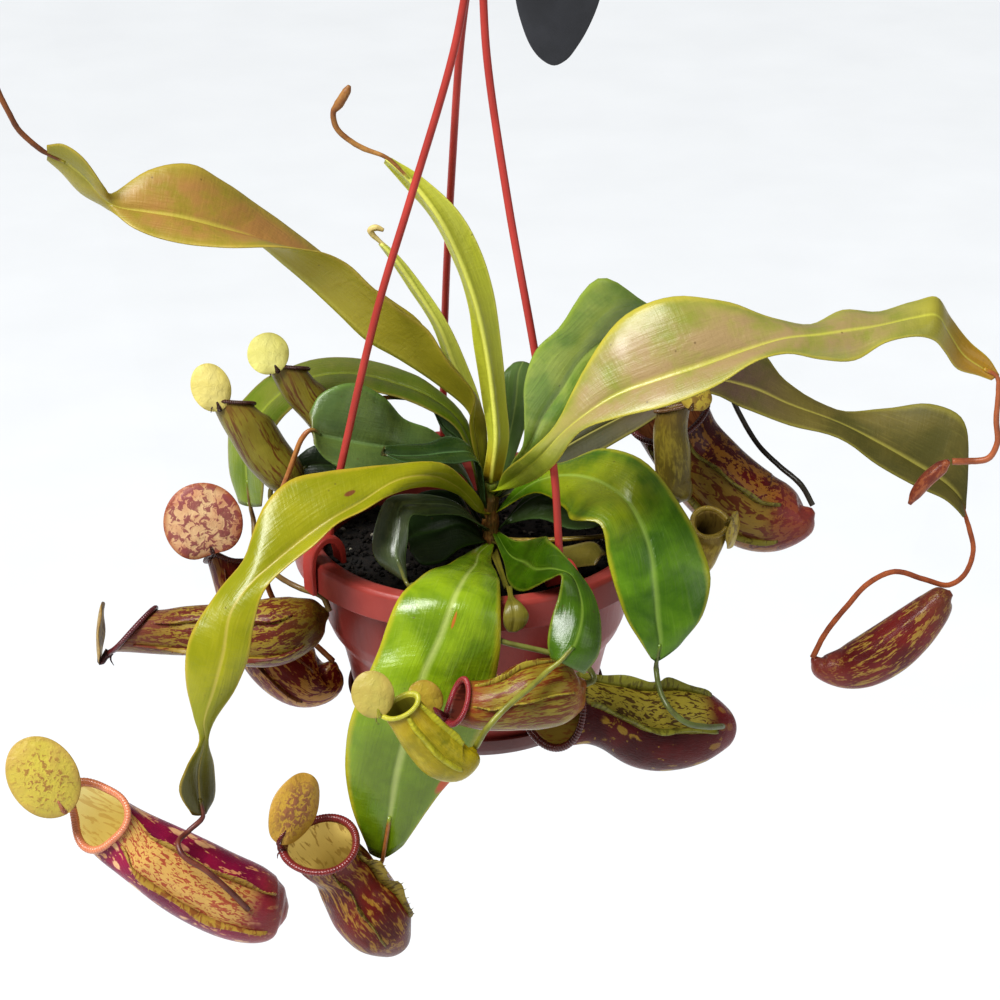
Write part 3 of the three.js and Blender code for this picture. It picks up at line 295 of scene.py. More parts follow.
def rounded(profile, radius=0.5, steps=3):
    """The profile with its corners cut by small arcs."""
    points = np.array(profile, float)
    out = [points[0]]
    for before, at, after in zip(points, points[1:], points[2:]):
        cut = min(radius, np.linalg.norm(before - at) / 3, np.linalg.norm(after - at) / 3)
        start = at + unit(before - at) * cut
        end = at + unit(after - at) * cut
        for t in np.linspace(0, 1, steps + 1):
            out.append((1 - t) ** 2 * start + 2 * t * (1 - t) * at + t * t * end)
    out.append(points[-1])
    return out


def plastic(name, light, dark, roughness):
    """Moulded plastic: a slow change of tone, and fine scuffs in a soft relief."""
    skin = Finish(name)
    where = skin.place()
    cloud = skin.noise(where, 38.0, 4.0, 0.55)
    scuff = skin.noise(skin.stretch(where, (1.0, 1.0, 0.25)), 420.0, 3.0, 0.6)
    fine = skin.noise(where, 1900.0, 2.0, 0.5)
    colour = skin.mix(cloud.between(0.3, 0.75), dark, light)
    colour = skin.mix(scuff.between(0.62, 0.85) * 0.12, colour, "#c08a7c")
    skin.shade(Base_Color=colour, Roughness=scuff * 0.16 + (roughness - 0.07),
               Normal=skin.bump(fine * 0.5 + scuff, 0.00008), Specular_IOR_Level=0.3)
    return skin.material


RIM_RADIUS = 70
SKIRT_FOOT = -12
POT_FOOT = -76.5
FOOT_RADIUS = 44.2
WALL = 1.6
pot_wall = [[61.5, -4], [58.6, -35], [56.6, -40], [53.2, -45], [51.6, -50], [49.8, -58],
            [47.8, -70], [FOOT_RADIUS, POT_FOOT]]
pot_profile = [[0, POT_FOOT + 0.8], [39, POT_FOOT + 0.8], [40, POT_FOOT], *pot_wall[::-1],
               [66.6, -3], [RIM_RADIUS - 2, -4.2], [RIM_RADIUS - 2, SKIRT_FOOT], [RIM_RADIUS, SKIRT_FOOT],
               [RIM_RADIUS, -1.6], [RIM_RADIUS - 1, 0], [64.4, 0],
               [61.5, -1.5], *[[r - WALL, z] for r, z in pot_wall[:-1]],
               [FOOT_RADIUS - WALL, POT_FOOT + 2.5], [0, POT_FOOT + 2.5]]
pot_form = Form()
pot_form.loft(turned(rounded(pot_profile, 0.9, 4)))
pot = pot_form.make("pot", [plastic("pot plastic", "#9e463e", "#8c3a34", 0.34)])
fitted(pot, "pot")

tray_profile = [[0, POT_FOOT - 1.9], [FOOT_RADIUS, POT_FOOT - 1.9], [47, POT_FOOT + 1.5], [50.6, -68.5],
                [49, -68.5], [47.1, -72.5], [FOOT_RADIUS + 0.3, POT_FOOT - 0.3], [0, POT_FOOT - 0.3]]
tray_form = Form()
tray_form.loft(turned(rounded(tray_profile, 0.6)))
# The tray's two dark tones are painted shade: it is the pot's plastic, drawn darker for the shadow under the
# pot.
tray = tray_form.make("drip_tray", [plastic("tray plastic in painted shade", "#5e241c", "#4a1a15", 0.4)])
fitted(tray, "drip_tray")

# ---------------------------------------------------------------------------------------------
# Soil
# Dark peat and bark in coarse crumbs, with a few pale grains that keep it open. It is filled
# in loose round the stem's foot, up to a finger's width below the rim.
SOIL_LEVEL = -12
SOIL_FOOT = -73.7
CRUMBS = 1500
soil_random = random.Random(4)


def peat(name, dark, light):
    crumb = Finish(name)
    where = crumb.place()
    patch = crumb.noise(where, 330.0, 5.0, 0.65)
    crumb.shade(Base_Color=crumb.mix(patch.between(0.4, 0.72), dark, light), Roughness=0.93,
                Normal=crumb.bump(crumb.noise(where, 900.0, 4.0, 0.6), 0.0004))
    return crumb.material


def lump(form, centre, size, finish=0):
    """A rough crumb: a few rings whose points are pushed in and out."""
    angle = soil_random.uniform(0, 6.28)
    axis = Vector([soil_random.gauss(0, 1) for _ in range(3)]).normalized()
    turn = Matrix.Rotation(angle, 3, axis)
    rings = []
    for height, radius in ((-0.9, 0.3), (-0.35, 0.9), (0.4, 0.85), (0.9, 0.3)):
        rings.append([centre + np.array(turn @ Vector((
            radius * size[0] * math.cos(a) * soil_random.uniform(0.75, 1.2),
            radius * size[1] * math.sin(a) * soil_random.uniform(0.75, 1.2),
            height * size[2]))) for a in np.arange(6) * math.pi / 3])
    form.loft(rings, finish=finish)


soil_profile = [[0, SOIL_FOOT], [42, SOIL_FOOT], *[[r - 2.3, z] for r, z in pot_wall[1:-1][::-1]],
                [58.3, SOIL_LEVEL - 1.4]]
surface = [[r, SOIL_LEVEL - 1.4] for r in np.linspace(57, 0, 34)]
soil_rings = turned(soil_profile + surface, 96)
for ring in soil_rings[len(soil_profile):]:
    for point in ring:
        point[2] += 1.1 * noise.noise(Vector(point) * 0.11) + 0.7 * noise.noise(Vector(point) * 0.4)
soil_form = Form()
soil_form.loft(soil_rings)
for i in range(CRUMBS):
    away, turn = 57.2 * math.sqrt(soil_random.random()), soil_random.uniform(0, 2 * math.pi)
    grow = soil_random.uniform(0.5, 1.5) * (1.5 if i % 9 == 0 else 1)
    centre = np.array([away * math.cos(turn), away * math.sin(turn), SOIL_LEVEL - 0.9])
    pale_grain = 1 if i % 59 == 0 else 0
    lump(soil_form, centre, (grow, grow * soil_random.uniform(0.5, 1), grow * 0.6), pale_grain)
soil = soil_form.make("soil", [peat("peat", "#0b0806", "#231911"), peat("pale grains", "#5f5a50", "#aaa596")])
fitted(soil, "soil")

# ---------------------------------------------------------------------------------------------
# Hanger
# One moulding of red plastic: three round strands from a hub with an open hook, and at the
# foot of each strand a flat clip that is bent over the pot's rim.
HUB_X = 2
STRAND_TOP = 221.1
STRAND_RADIUS = 1.45
strands = {
    "hanger_strand_1": [[-0.6, -1.4, STRAND_TOP], [-7.2, -4.4, 188], [-23.4, -13.2, 135], [-35, -20, 98],
                        [-50, -28, 36], [-53.6, -30.2, 19], [-54.5, -30.8, 10.1]],
    "hanger_strand_2": [[-0.6, 3, STRAND_TOP], [-4.6, 9, 188], [-8, 24.5, 137], [-10.7, 43, 86],
                        [-12.2, 57, 43.5], [-12.6, 60.5, 20], [-12.7, 61.2, 10.1]],
    "hanger_strand_3": [[3.2, -2.5, STRAND_TOP], [4.9, -8, 188], [12.5, -21.6, 137], [22, -38, 86],
                        [29, -50, 43.5], [30.6, -53, 20], [31.2, -54.1, 10.1]],
}


def curve(points, steps, closed=False):
    """A smooth line through the points, with the given number of steps to each span."""
    p = np.array(points, float)
    p = np.vstack([p[-1:], p, p[:2]]) if closed else np.vstack([2 * p[:1] - p[1:2], p, 2 * p[-1:] - p[-2:-1]])
    out = []
    for p0, p1, p2, p3 in zip(p, p[1:], p[2:], p[3:]):
        d0, d1, d2 = [max(1e-3, np.linalg.norm(b - a)) ** 0.5 for a, b in ((p0, p1), (p1, p2), (p2, p3))]
        start = ((p1 - p0) / d0 - (p2 - p0) / (d0 + d1) + (p2 - p1) / d1) * d1
        end = ((p2 - p1) / d1 - (p3 - p1) / (d1 + d2) + (p3 - p2) / d2) * d1
        for t in np.arange(steps) / steps:
            out.append(p1 + start * t + (3 * (p2 - p1) - 2 * start - end) * t ** 2
                       + (2 * (p1 - p2) + start + end) * t ** 3)
    if not closed:
        out.append(p[-2])
    return np.array(out)


def way(line):
    """How far along the line each of its points lies."""
    return np.concatenate([[0], np.cumsum(np.linalg.norm(np.diff(line, axis=0), axis=1))])


def rod(form, stations, sides=12, steps=5, finish=0, past=0.0, knobs=0.0):
    """A round rod whose thickness changes along it; each station is [x, y, z, radius]. `past` is
    where its `lie` starts, and `knobs` how far its surface is uneven."""
    stations = np.array(stations, float)
    line = curve(stations[:, :3], steps)
    radius = np.interp(np.arange(len(line)) / steps, np.arange(len(stations)), stations[:, 3])
    tangent = unit(np.gradient(line, axis=0))
    side = np.array([0, 0, 1.0]) if abs(tangent[0][2]) < 0.8 else np.array([1.0, 0, 0])
    run = way(line)
    angle = full_turn(sides)
    rings, lie, wrap = [], [], []
    for i, (centre, along) in enumerate(zip(line, tangent)):
        side = unit(side - along * np.dot(side, along))
        other = np.cross(along, side)
        reach = radius[i] * (np.cos(angle)[:, None] * side + np.sin(angle)[:, None] * other)
        if knobs:
            reach *= np.array([[1 + knobs * noise.noise(Vector(centre + r) * 0.9)] for r in reach])
        rings.append(centre + reach)
        share, level = np.full(sides, past + run[i] / run[-1]), np.full(sides, run[i])
        lie.append(np.stack([np.cos(angle), share, np.full(sides, 0.5)], axis=1))
        wrap.append(np.stack([radius[i] * np.cos(angle), radius[i] * np.sin(angle), level], axis=1))
    form.loft(rings, lie, wrap, finish)


hanger_plastic = plastic("hanger plastic", "#b0443c", "#9c3a33", 0.33)
for name, path in strands.items():
    strand_form = Form()
    rod(strand_form, [[*p, STRAND_RADIUS] for p in path], sides=20, steps=10)
    fitted(strand_form.make(name, [hanger_plastic], sharp=50), name)

CLIP_WIDTH = 7.5
clip_outside = [[72.3, -12.5], [72.4, 2], [70, 7.4], [66, 10.2], [61.5, 9.6], [58.4, 5.5], [57.6, -2]]
clip_inside = [[59.6, -2], [60.6, 3.6], [62.8, 7], [65.6, 7.8], [68.4, 5.6], [70.3, 1.6], [70.3, -12.5]]
outline = np.vstack([curve([(r, 0, z) for r, z in face], 3) for face in (clip_outside, clip_inside)])
for i, path in enumerate(strands.values()):
    turn = math.atan2(path[-1][1], path[-1][0])
    outward = np.array([math.cos(turn), math.sin(turn), 0])
    sideways = np.array([-math.sin(turn), math.cos(turn), 0])
    sides = [outward * outline[:, :1] + np.array([0, 0, 1.0]) * outline[:, 2:] + sideways * w
             for w in (-CLIP_WIDTH / 2, CLIP_WIDTH / 2)]
    clip_form = Form()
    clip_form.points = [np.vstack(sides)]
    clip_form.lie = [np.zeros((2 * len(outline), 3))]
    clip_form.wrap = clip_form.points
    n = len(outline)
    half = n // 2
    for k in range(n):
        clip_form.faces.append((k, (k + 1) % n, n + (k + 1) % n, n + k))
    for k in range(half - 1):
        clip_form.faces.append((k, k + 1, n - 2 - k, n - 1 - k))
        clip_form.faces.append((n + k, n + n - 1 - k, n + n - 2 - k, n + k + 1))
    clip_form.finish = [0] * len(clip_form.faces)
    clip = clip_form.make(f"hanger_clip_{i + 1}", [hanger_plastic], sharp=40)
    rounding = clip.modifiers.new("rounding", "BEVEL")
    rounding.width = 0.0005
    rounding.segments = 3
    rounding.limit_method = "ANGLE"
    rounding.angle_limit = math.radians(40)
    fitted(clip, f"hanger_clip_{i + 1}")

HOOK_RADIUS = 14.3
HOOK_MIDDLE = 265
hook_form = Form()
hook_path = [[HUB_X, 0, 233], [HUB_X, 0, 243], [HUB_X + 7, 0, 250]]
for i in range(9):
    angle = i * math.pi / 8 - 0.1
    hook_path.append([HUB_X + HOOK_RADIUS * math.cos(angle), 0, HOOK_MIDDLE + HOOK_RADIUS * math.sin(angle)])
hook_path += [[HUB_X - HOOK_RADIUS, 0, 258], [HUB_X - HOOK_RADIUS, 0, 256.2]]
thickness = [2.3] * (len(hook_path) - 1) + [1.2]
rod(hook_form, [[*p, r] for p, r in zip(hook_path, thickness)], sides=24, steps=6)
hub_profile = [[0, 222], [4.6, 222], [5.6, 224], [5.2, 229], [3.2, 234], [2.6, 237], [0, 237]]
hook_form.loft(turned(rounded(hub_profile, 0.8), 64) + np.array([HUB_X, 0, 0]))
fitted(hook_form.make("hanger_hook", [hanger_plastic], sharp=50), "hanger_hook")

# ---------------------------------------------------------------------------------------------
# Care tag
# A blank card of dark coated board with a punched hole, on a loop of natural twine that goes
# round the shank of the hook.
tag_outline = [[29, 184.8], [24.5, 187], [20.5, 192], [17, 201], [15, 210], [15, 220], [19, 230], [26, 237],
               [33, 239], [41, 235], [45, 226], [46, 217], [45, 209], [41, 198.5], [37, 191.5], [33.5, 187]]
TAG_HOLE = np.array([25, 230])
HOLE_RADIUS = 2.2
edge = curve([[x, 0, z] for x, z in tag_outline], 4, closed=True)[:, [0, 2]]
turn = np.arctan2(edge[:, 1] - TAG_HOLE[1], edge[:, 0] - TAG_HOLE[0])
hole = TAG_HOLE + HOLE_RADIUS * np.stack([np.cos(turn), np.sin(turn)], axis=1)
tag_form = Form()
rings = []
for share, y in ((0, -8.8), (0.5, -8.8), (0.985, -8.8), (1, -8.65),
                 (1, -8.15), (0.985, -8), (0.5, -8), (0, -8)):
    flat = hole + (edge - hole) * share
    rings.append(np.stack([flat[:, 0], np.full(len(flat), y), flat[:, 1]], axis=1))
tag_form.loft(rings, closed=True)
card = Finish("tag board")
where = card.place()
fibres = card.noise(card.stretch(where, (1.0, 1.0, 3.0)), 900.0, 4.0, 0.6)
cloud = card.noise(where, 60.0, 3.0)
card.shade(Base_Color=card.mix(cloud.between(0.35, 0.7), "#26272b", "#303136"), Roughness=fibres * 0.2 + 0.42,
           Normal=card.bump(fibres, 0.00006))
fitted(tag_form.make("care_tag", [card.material], sharp=40), "care_tag")

twine = Finish("twine")
fibrous = twine.noise(twine.place(), 1600.0, 3.0)
twine.shade(Base_Color=twine.mix(fibrous, "#b9ad94", "#e4dcc8"), Roughness=0.85,
            Normal=twine.bump(fibrous, 0.0002))
loop_line = curve([[-3, 0, 241], [2, -5.4, 241], [14, -9, 237], [23.5, -11.4, 231.4], [25.6, -8.4, 229.4],
                   [23.5, -5, 231], [13, 1.5, 237], [3, 5.4, 241]], 16, closed=True)
tangent = unit(np.roll(loop_line, -1, 0) - np.roll(loop_line, 1, 0))
side = unit(np.cross(tangent, [0.1, 0.2, 1.0]))
other = np.cross(tangent, side)
PLY_RADIUS = 0.32
PLY_OFFSET = 0.28
TWISTS = 20
twine_form = Form()
for ply_turn in (0, math.pi):
    phase = np.arange(len(loop_line)) * 2 * math.pi * TWISTS / len(loop_line) + ply_turn
    centre = loop_line + PLY_OFFSET * (np.cos(phase)[:, None] * side + np.sin(phase)[:, None] * other)
    angle = np.arange(8) * math.pi / 4
    twine_form.loft(centre[:, None] + PLY_RADIUS * (np.cos(angle)[None, :, None] * side[:, None]
                                                    + np.sin(angle)[None, :, None] * other[:, None]),
                    closed=True)
fitted(twine_form.make("tag_tie", [twine.material]), "tag_tie")

# ---------------------------------------------------------------------------------------------
# Stem
# The short upright stem at the crown, rooted in the soil: orange-brown and fibrous, ringed by
# the scars of leaves that have dropped, and green at its top where new leaves come.
STEM_X = 6
STEM_RADIUS = 3.2
bark = Finish("stem bark")
where = bark.place()
fibre = bark.noise(bark.stretch(where, (1.0, 1.0, 0.15)), 1400.0, 4.0, 0.6)
patch = bark.noise(where, 210.0, 4.0, 0.6)
colour = bark.mix(patch.between(0.35, 0.7), "#463612", "#80501e")
colour = bark.mix(bark.lie(1).between(0.75, 1.0), colour, "#6c7a22")
bark.shade(Base_Color=bark.mix(fibre.between(0.45, 0.8) * 0.6, colour, "#c49a55"), Roughness=0.62,
           Normal=bark.bump(fibre + patch, 0.0003))
stem_form = Form()
rod(stem_form, [[STEM_X, 0, -11.7, 3.2], [STEM_X, 0, -6, 3.4], [STEM_X, 0, -4, 3.1], [STEM_X, 0, 1, 3.3],
                [STEM_X, 0, 3, 3.0], [STEM_X, 0, 9, 3.2], [STEM_X, 0, 11, 2.9], [STEM_X, 0, 17, 2.7]],
    sides=28, steps=4, knobs=0.16)
fitted(stem_form.make("stem", [bark.material]), "stem")

# ---------------------------------------------------------------------------------------------
# Leaves
# Leathery straps that spring from the stem, each with a sunk rib that stands out underneath
# and runs on past the tip as a tendril. A pitcher hangs on it, or a small bud still does.
LEAF_HALF = 0.4
ACROSS = np.array([-1, -0.93, -0.82, -0.68, -0.53, -0.38, -0.24, -0.13, -0.06, 0,
                   0.06, 0.13, 0.24, 0.38, 0.53, 0.68, 0.82, 0.93, 1])


def leaf_skin(name, upper, deep, under, rib, margin, cord=("#a5703a", "#8a4f2c"), blush=None, foot=None,
              tip=None, gloss=0.34, marks=(), waxy=0.12, foot_end=0.16):
    """Skin of a leaf: mottled above, duller below, with a pale rib, long fine veins, a thin margin
    of its own colour, and its tendril's two colours. `blush` is a colour, where it starts and stops
    along the leaf, and its share; `foot` and `tip` are colours that the ends have turned, save that a
    near-black `foot` is painted shade, darkening the blade from the stem out to `foot_end`; each of
    `marks` is a scar's place across and along, its width, its length and its colour."""
    skin = Finish(name)
    across, along, top = [skin.lie(part) for part in range(3)]
    wrap = skin.kept("wrap")
    away = abs(across)
    where = skin.place()
    cloud = skin.noise(where, 52.0, 4.0, 0.55, 0.4)
    patch = skin.noise(where, 150.0, 3.0, 0.6)
    streak = skin.noise(skin.stretch(wrap, (1.1, 1.0, 0.06)), 1.0, 3.0, 0.6)
    cross = skin.noise(skin.stretch(wrap, (0.12, 1.0, 0.9)), 1.0, 3.0, 0.6)
    colour = skin.mix(cloud.between(0.32, 0.68), deep, upper)
    colour = skin.mix(streak.between(0.5, 0.8) * 0.14, colour, rib)
    colour = skin.mix(cross.between(0.55, 0.8) * 0.12, colour, deep)
    if blush:
        tint, start, stop, share = blush
        there = along.between(start - 0.08, start + 0.08) * (1 - along.between(stop - 0.08, stop + 0.08))
        spread = (cloud * 0.7 + patch * 0.3).between(0.28, 0.6) * (1 - away.between(0.55, 1.0) * 0.7)
        colour = skin.mix(there * spread * share, colour, tint)
    colour = skin.mix((1 - top) * 0.85, colour, under)
    # A near-black foot colour is painted shade laid over the blade's own colour, out to foot_end.
    if foot:
        colour = skin.mix((1 - along.between(0.0, foot_end)) * 0.9, colour, foot)
    if tip:
        colour = skin.mix(along.between(0.8, 0.97) * 0.9, colour, tip)
    near_rib = 1 - away.between(0.0, 0.1)
    colour = skin.mix(near_rib * 0.55, colour, rib)
    edge = (away + patch * 0.1 - 0.05).between(0.86, 0.99)
    colour = skin.mix(edge * 0.6, colour, margin)
    for mark_across, mark_along, wide, long, tint in marks:
        dx = (across - mark_across) / wide
        dy = (along - mark_along) / long
        near = 1 - (dx * dx + dy * dy + (patch - 0.5) * 1.2).between(0.5, 1.0)
        colour = skin.mix(near * 0.9, colour, tint)
    speck = skin.node("ShaderNodeTexVoronoi", {"feature": "F1"}, {"Vector": where, "Scale": 190.0})
    colour = skin.mix((1 - speck.between(0.05, 0.11)) * patch.between(0.5, 0.62) * 0.55, colour, "#4a3a1c")
    cord_colour = skin.mix(patch.between(0.35, 0.7), cord[0], cord[1])
    on_cord = along.between(0.985, 1.04)
    colour = skin.mix(on_cord, colour, cord_colour)
    relief = streak * 0.35 + cross * 0.2 + cloud * 1.4
    skin.shade(Base_Color=colour, Roughness=cloud * 0.14 + patch * 0.1 + (gloss - 0.11) + on_cord * 0.16,
               Normal=skin.bump(relief, 0.0007), Specular_IOR_Level=0.3, Coat_Weight=waxy, Coat_Roughness=0.2)
    return skin.material


def petiole(turn, height):
    """Where a leaf springs from the stem: its two edges and its rib."""
    turn = math.radians(turn)
    out = np.array([math.cos(turn), math.sin(turn), 0])
    across = np.array([math.sin(turn), -math.cos(turn), 0])
    middle = np.array([STEM_X, 0, height]) + out * (STEM_RADIUS - 0.4)
    return [middle + across * 1.7 * side - out * 0.3 * side * side for side in (-1, 0, 1)]


def leaf(node, rows, skin, root=None, tendril=(), end=1.15, wave=0.5):
    """A blade through rows of [left edge, rib, right edge], with its tendril beyond them. `root` is
    its turn round the stem and its height there, `end` the tendril's last radius, and `wave` how
    far the blade ripples."""
    stations = ([petiole(*root)] if root else []) + [np.array(row, float) for row in rows]
    left, rib, right = [curve([row[j] for row in stations], 5) for j in range(3)]
    along = np.gradient(rib, axis=0)
    grid = np.zeros((len(rib), len(ACROSS), 3))
    for j, u in enumerate(ACROSS):
        edge = left if u < 0 else right
        across = rib - left if u < 0 else right - rib
        rise = unit(np.cross(across, along)) * np.linalg.norm(across, axis=1, keepdims=True)
        grid[:, j] = rib + (edge - rib) * abs(u) + 0.06 * rise * 4 * abs(u) * (1 - abs(u))
    run = way(rib)
    half = np.linalg.norm(right - left, axis=1, keepdims=True) / 2
    away = np.abs(ACROSS) * half
    normal = unit(np.cross(np.gradient(grid, axis=1), np.gradient(grid, axis=0)))
    ripple = np.array([[noise.noise(Vector(p) * 0.085) for p in row] for row in grid])
    grid += normal * (ripple * np.minimum(away / 8, 1) * wave)[..., None]
    crease = np.exp(-away ** 2)
    thin = 1 - 0.45 * np.abs(ACROSS) ** 6
    upper = grid + normal * ((LEAF_HALF - 0.34 * crease) * thin)[..., None]
    lower = grid - normal * ((LEAF_HALF + 0.5 * crease) * thin)[..., None]
    outward = unit(np.stack([grid[:, 0] - grid[:, 1], grid[:, -1] - grid[:, -2]], axis=1)) * 0.22
    rings = np.concatenate([upper, grid[:, -1:] + outward[:, 1:],
                            lower[:, ::-1], grid[:, :1] + outward[:, :1]], axis=1)
    u = np.concatenate([ACROSS, [1], ACROSS[::-1], [-1]])
    face = np.concatenate([np.ones(len(ACROSS)), [0.5], np.zeros(len(ACROSS)), [0.5]])
    lie = np.stack(np.broadcast_arrays(u[None], (run / run[-1])[:, None], face[None]), axis=2)
    wrap = np.stack(np.broadcast_arrays(u[None] * half, 40 * (1 - face[None]), run[:, None]), axis=2)
    form = Form()
    form.loft(rings, lie, wrap)
    if len(tendril):
        start = [[*row[1], 0.8] for row in rows[-2:]]
        path = [[*p[:3], p[3] if len(p) > 3 else 1 + (end - 1) * (i + 1) / len(tendril)]
                for i, p in enumerate(tendril)]
        rod(form, start + path, sides=12, steps=6, past=0.98, knobs=0.1)
    fitted(form.make(node, [skin]), node)


# Leaf 1: long, out to the upper left, its near edge rolled up and over
leaf("leaf_01",
  root=(152, 14),
  rows=[
    [[-2, 1, 41], [0, 4, 38], [4, 8, 39]],
    [[0, -4, 55], [-2, 3, 46], [0, 12, 49]],
    [[-9, -9, 69], [-14, -1, 59], [-11, 14, 63]],
    [[-17, -12, 84], [-28, -3, 70], [-21, 16, 77]],
    [[-26, -13, 92], [-40, -4, 78], [-34, 17, 87]],
    [[-36, -14, 101], [-50, -3, 88], [-47, 18, 95]],
    [[-47, -15, 112], [-61, 0, 98], [-55, 20, 101]],
    [[-57, -16, 117], [-70, 1, 106], [-64, 20, 109]],
    [[-75, -17, 119], [-81, 2, 115], [-77, 18, 120]],
    [[-95, -16, 119], [-96, -2, 122], [-93, 14, 134]],
    [[-111, -15, 121], [-109, -3, 126], [-105, 10, 142]],
    [[-124, -12, 125], [-121, -3, 128], [-120, 6, 141]],
    [[-131, -6, 128], [-131, -3, 130], [-133, 0, 134]],
    [[-136, 2, 128], [-136, -2, 133], [-135, -6, 139]],
    [[-145, 6, 132], [-142, -2, 141], [-142, -8, 151]],
    [[-151, 5, 140], [-149, -2, 147], [-149, -6, 155]],
    [[-156, 1, 147], [-155, -2, 150], [-155, -4, 154]],
  ],
  tendril=[[-158, -2, 152], [-165, -2, 159], [-168, -2, 165], [-172, -2, 175],
    [-173, -2, 181, 1.6], [-172, -2, 187, 1.4], [-171, -2, 190, 0.7]],
  skin=leaf_skin("bronze strap", "#9b9030", "#867f24", "#9b9226", "#beb84f", "#ab963e", foot="#6b7411",
                 blush=("#a37049", 0.4, 0.86, 0.75), cord=("#824f2a", "#5b3621"), gloss=0.38),
)

# Leaf 2: narrow and folded, rising from the top of the stem and arching to the left
leaf("leaf_02",
  rows=[
    [[10, 0, 17.8], [6, -2, 17.8], [3, 0, 17.8]],
    [[13, 2, 34], [8, -4, 36], [5, 2, 34]],
    [[12, 4, 49], [7, -2, 52], [3, 4, 49]],
    [[10, 5, 72], [4, 0, 74], [0, 6, 71]],
    [[7, 6, 93], [0, 0, 92], [-3, 7, 91]],
    [[2, 6, 110], [-6, 1, 109], [-9, 8, 108]],
    [[-6, 6, 125], [-13, 1, 124], [-16, 8, 122]],
    [[-20, 5, 139], [-24, 2, 139], [-26, 7, 135]],
    [[-30, 4, 146], [-32, 2, 147], [-33, 5, 144]],
  ],
  tendril=[[-40, 3, 150], [-45, 3, 153], [-50, 3, 158], [-51, 3, 164], [-49, 3, 167, 1.8],
    [-46, 3, 172, 1.6], [-45, 3, 174, 0.7]],
  skin=leaf_skin("lime blade", "#ced250", "#a9b536", "#babe40", "#f4f381", "#e1de64", foot="#a58219",
                 cord=("#a97d45", "#80522e"), gloss=0.3),
)

# Leaf 3: small spear behind leaf 2
leaf("leaf_03",
  root=(98, 10),
  rows=[
    [[4, 11, 34], [3, 10, 34], [2, 13, 33]],
    [[2, 14, 45], [-1, 13, 46], [-3, 18, 46]],
    [[-3, 16, 59], [-7, 15, 58], [-10, 20, 57]],
    [[-10, 18, 75], [-13, 17, 74], [-16, 22, 73]],
    [[-19, 20, 89], [-22, 19, 89], [-25, 23, 88]],
    [[-28, 21, 101], [-30, 20, 101], [-32, 22, 100]],
    [[-34, 21, 107], [-35, 21, 107], [-36, 22, 106]],
  ],
  tendril=[[-38, 21, 110], [-39, 21, 112, 1.3], [-37, 21, 113, 1.3], [-34, 21, 112, 0.7]],
  skin=leaf_skin("pale spear", "#c3c75a", "#a8b445", "#bbc052", "#eff088", "#dbd86b", foot="#dedd70",
                 cord=("#e0d18b", "#bea165"), gloss=0.36),
)

# Leaf 4: broad arch to the left, then straight down
leaf("leaf_04",
  root=(150, 6.5),
  rows=[
    [[-6, 10, 34], [-5, 14, 35], [-3, 18, 35]],
    [[-17, 14, 41], [-17, 22, 43], [-17, 30, 45]],
    [[-33, 20, 45], [-31, 29, 46], [-30, 40, 48]],
    [[-48, 22, 47], [-48, 34, 48], [-48, 48, 49]],
    [[-63, 22, 44], [-65, 36, 45], [-65, 50, 47]],
    [[-76, 22, 33], [-80, 36, 35], [-83, 50, 39]],
    [[-82, 22, 20], [-89, 34, 21], [-96, 46, 25]],
    [[-83, 22, 6], [-90, 32, 4], [-98, 42, 5]],
    [[-84, 24, -4], [-89, 30, -7], [-94, 36, -8]],
  ],
  tendril=[[-88, 30, -13], [-87, 20, -19], [-81, 0, -17], [-74, -22, -13], [-66, -29, -14],
    [-58, -30, -17], [-55.6, -30, -22.8]],
  skin=leaf_skin("olive arch", "#778719", "#5f7410", "#78892a", "#a0ac42", "#9b8742",
                 blush=("#8b7d51", 0.35, 0.75, 0.35), cord=("#7e6837", "#60492a"), gloss=0.3, waxy=0.2),
)

# Leaf 5: short broad dark leaf over the left of the rim
leaf("leaf_05",
  root=(193, 2.5),
  rows=[
    [[-5, -4, 22], [-6, 2, 24], [-7, 6, 25]],
    [[-15, -8, 27], [-16, 0, 30], [-16, 6, 36]],
    [[-26, -14, 28], [-29, -4, 33], [-27, 4, 42]],
    [[-39, -19, 29], [-41, -9, 37], [-35, 0, 53]],
    [[-49, -21, 32], [-52, -13, 41], [-46, -4, 60]],
    [[-56, -22, 37], [-58, -16, 44], [-58, -8, 57]],
    [[-60, -22, 43], [-61, -18, 47], [-62, -12, 51]],
  ],
  tendril=[[-64, -19, 45], [-70, -19, 30], [-79, -18, 3], [-80, -18, -16], [-74, -13, -34],
    [-63, -7, -49], [-56, -6, -57.2]],
  skin=leaf_skin("grey green blade", "#66783e", "#4e6236", "#667440", "#76925a", "#6c8a44", gloss=0.3,
                 waxy=0.25),
)

# Leaf 6: small dark leaf at the back left
leaf("leaf_06",
  root=(120, -3),
  rows=[
    [[-2, 13, 24], [-3, 15, 25], [-4, 17, 27]],
    [[-11, 18, 28], [-12, 20, 32], [-11, 22, 39]],
    [[-18, 24, 39], [-19, 25, 41], [-20, 26, 43]],
    [[-33, 26, 41], [-34, 27, 41], [-34, 28, 41]],
  ],
  tendril=[[-40, 25, 40], [-46, 18, 34], [-47, 11, 28], [-45.6, 8, 29.6]],
  skin=leaf_skin("small dark blade", "#3a5024", "#2c401c", "#505f2c", "#56703a", "#46622e"),
)

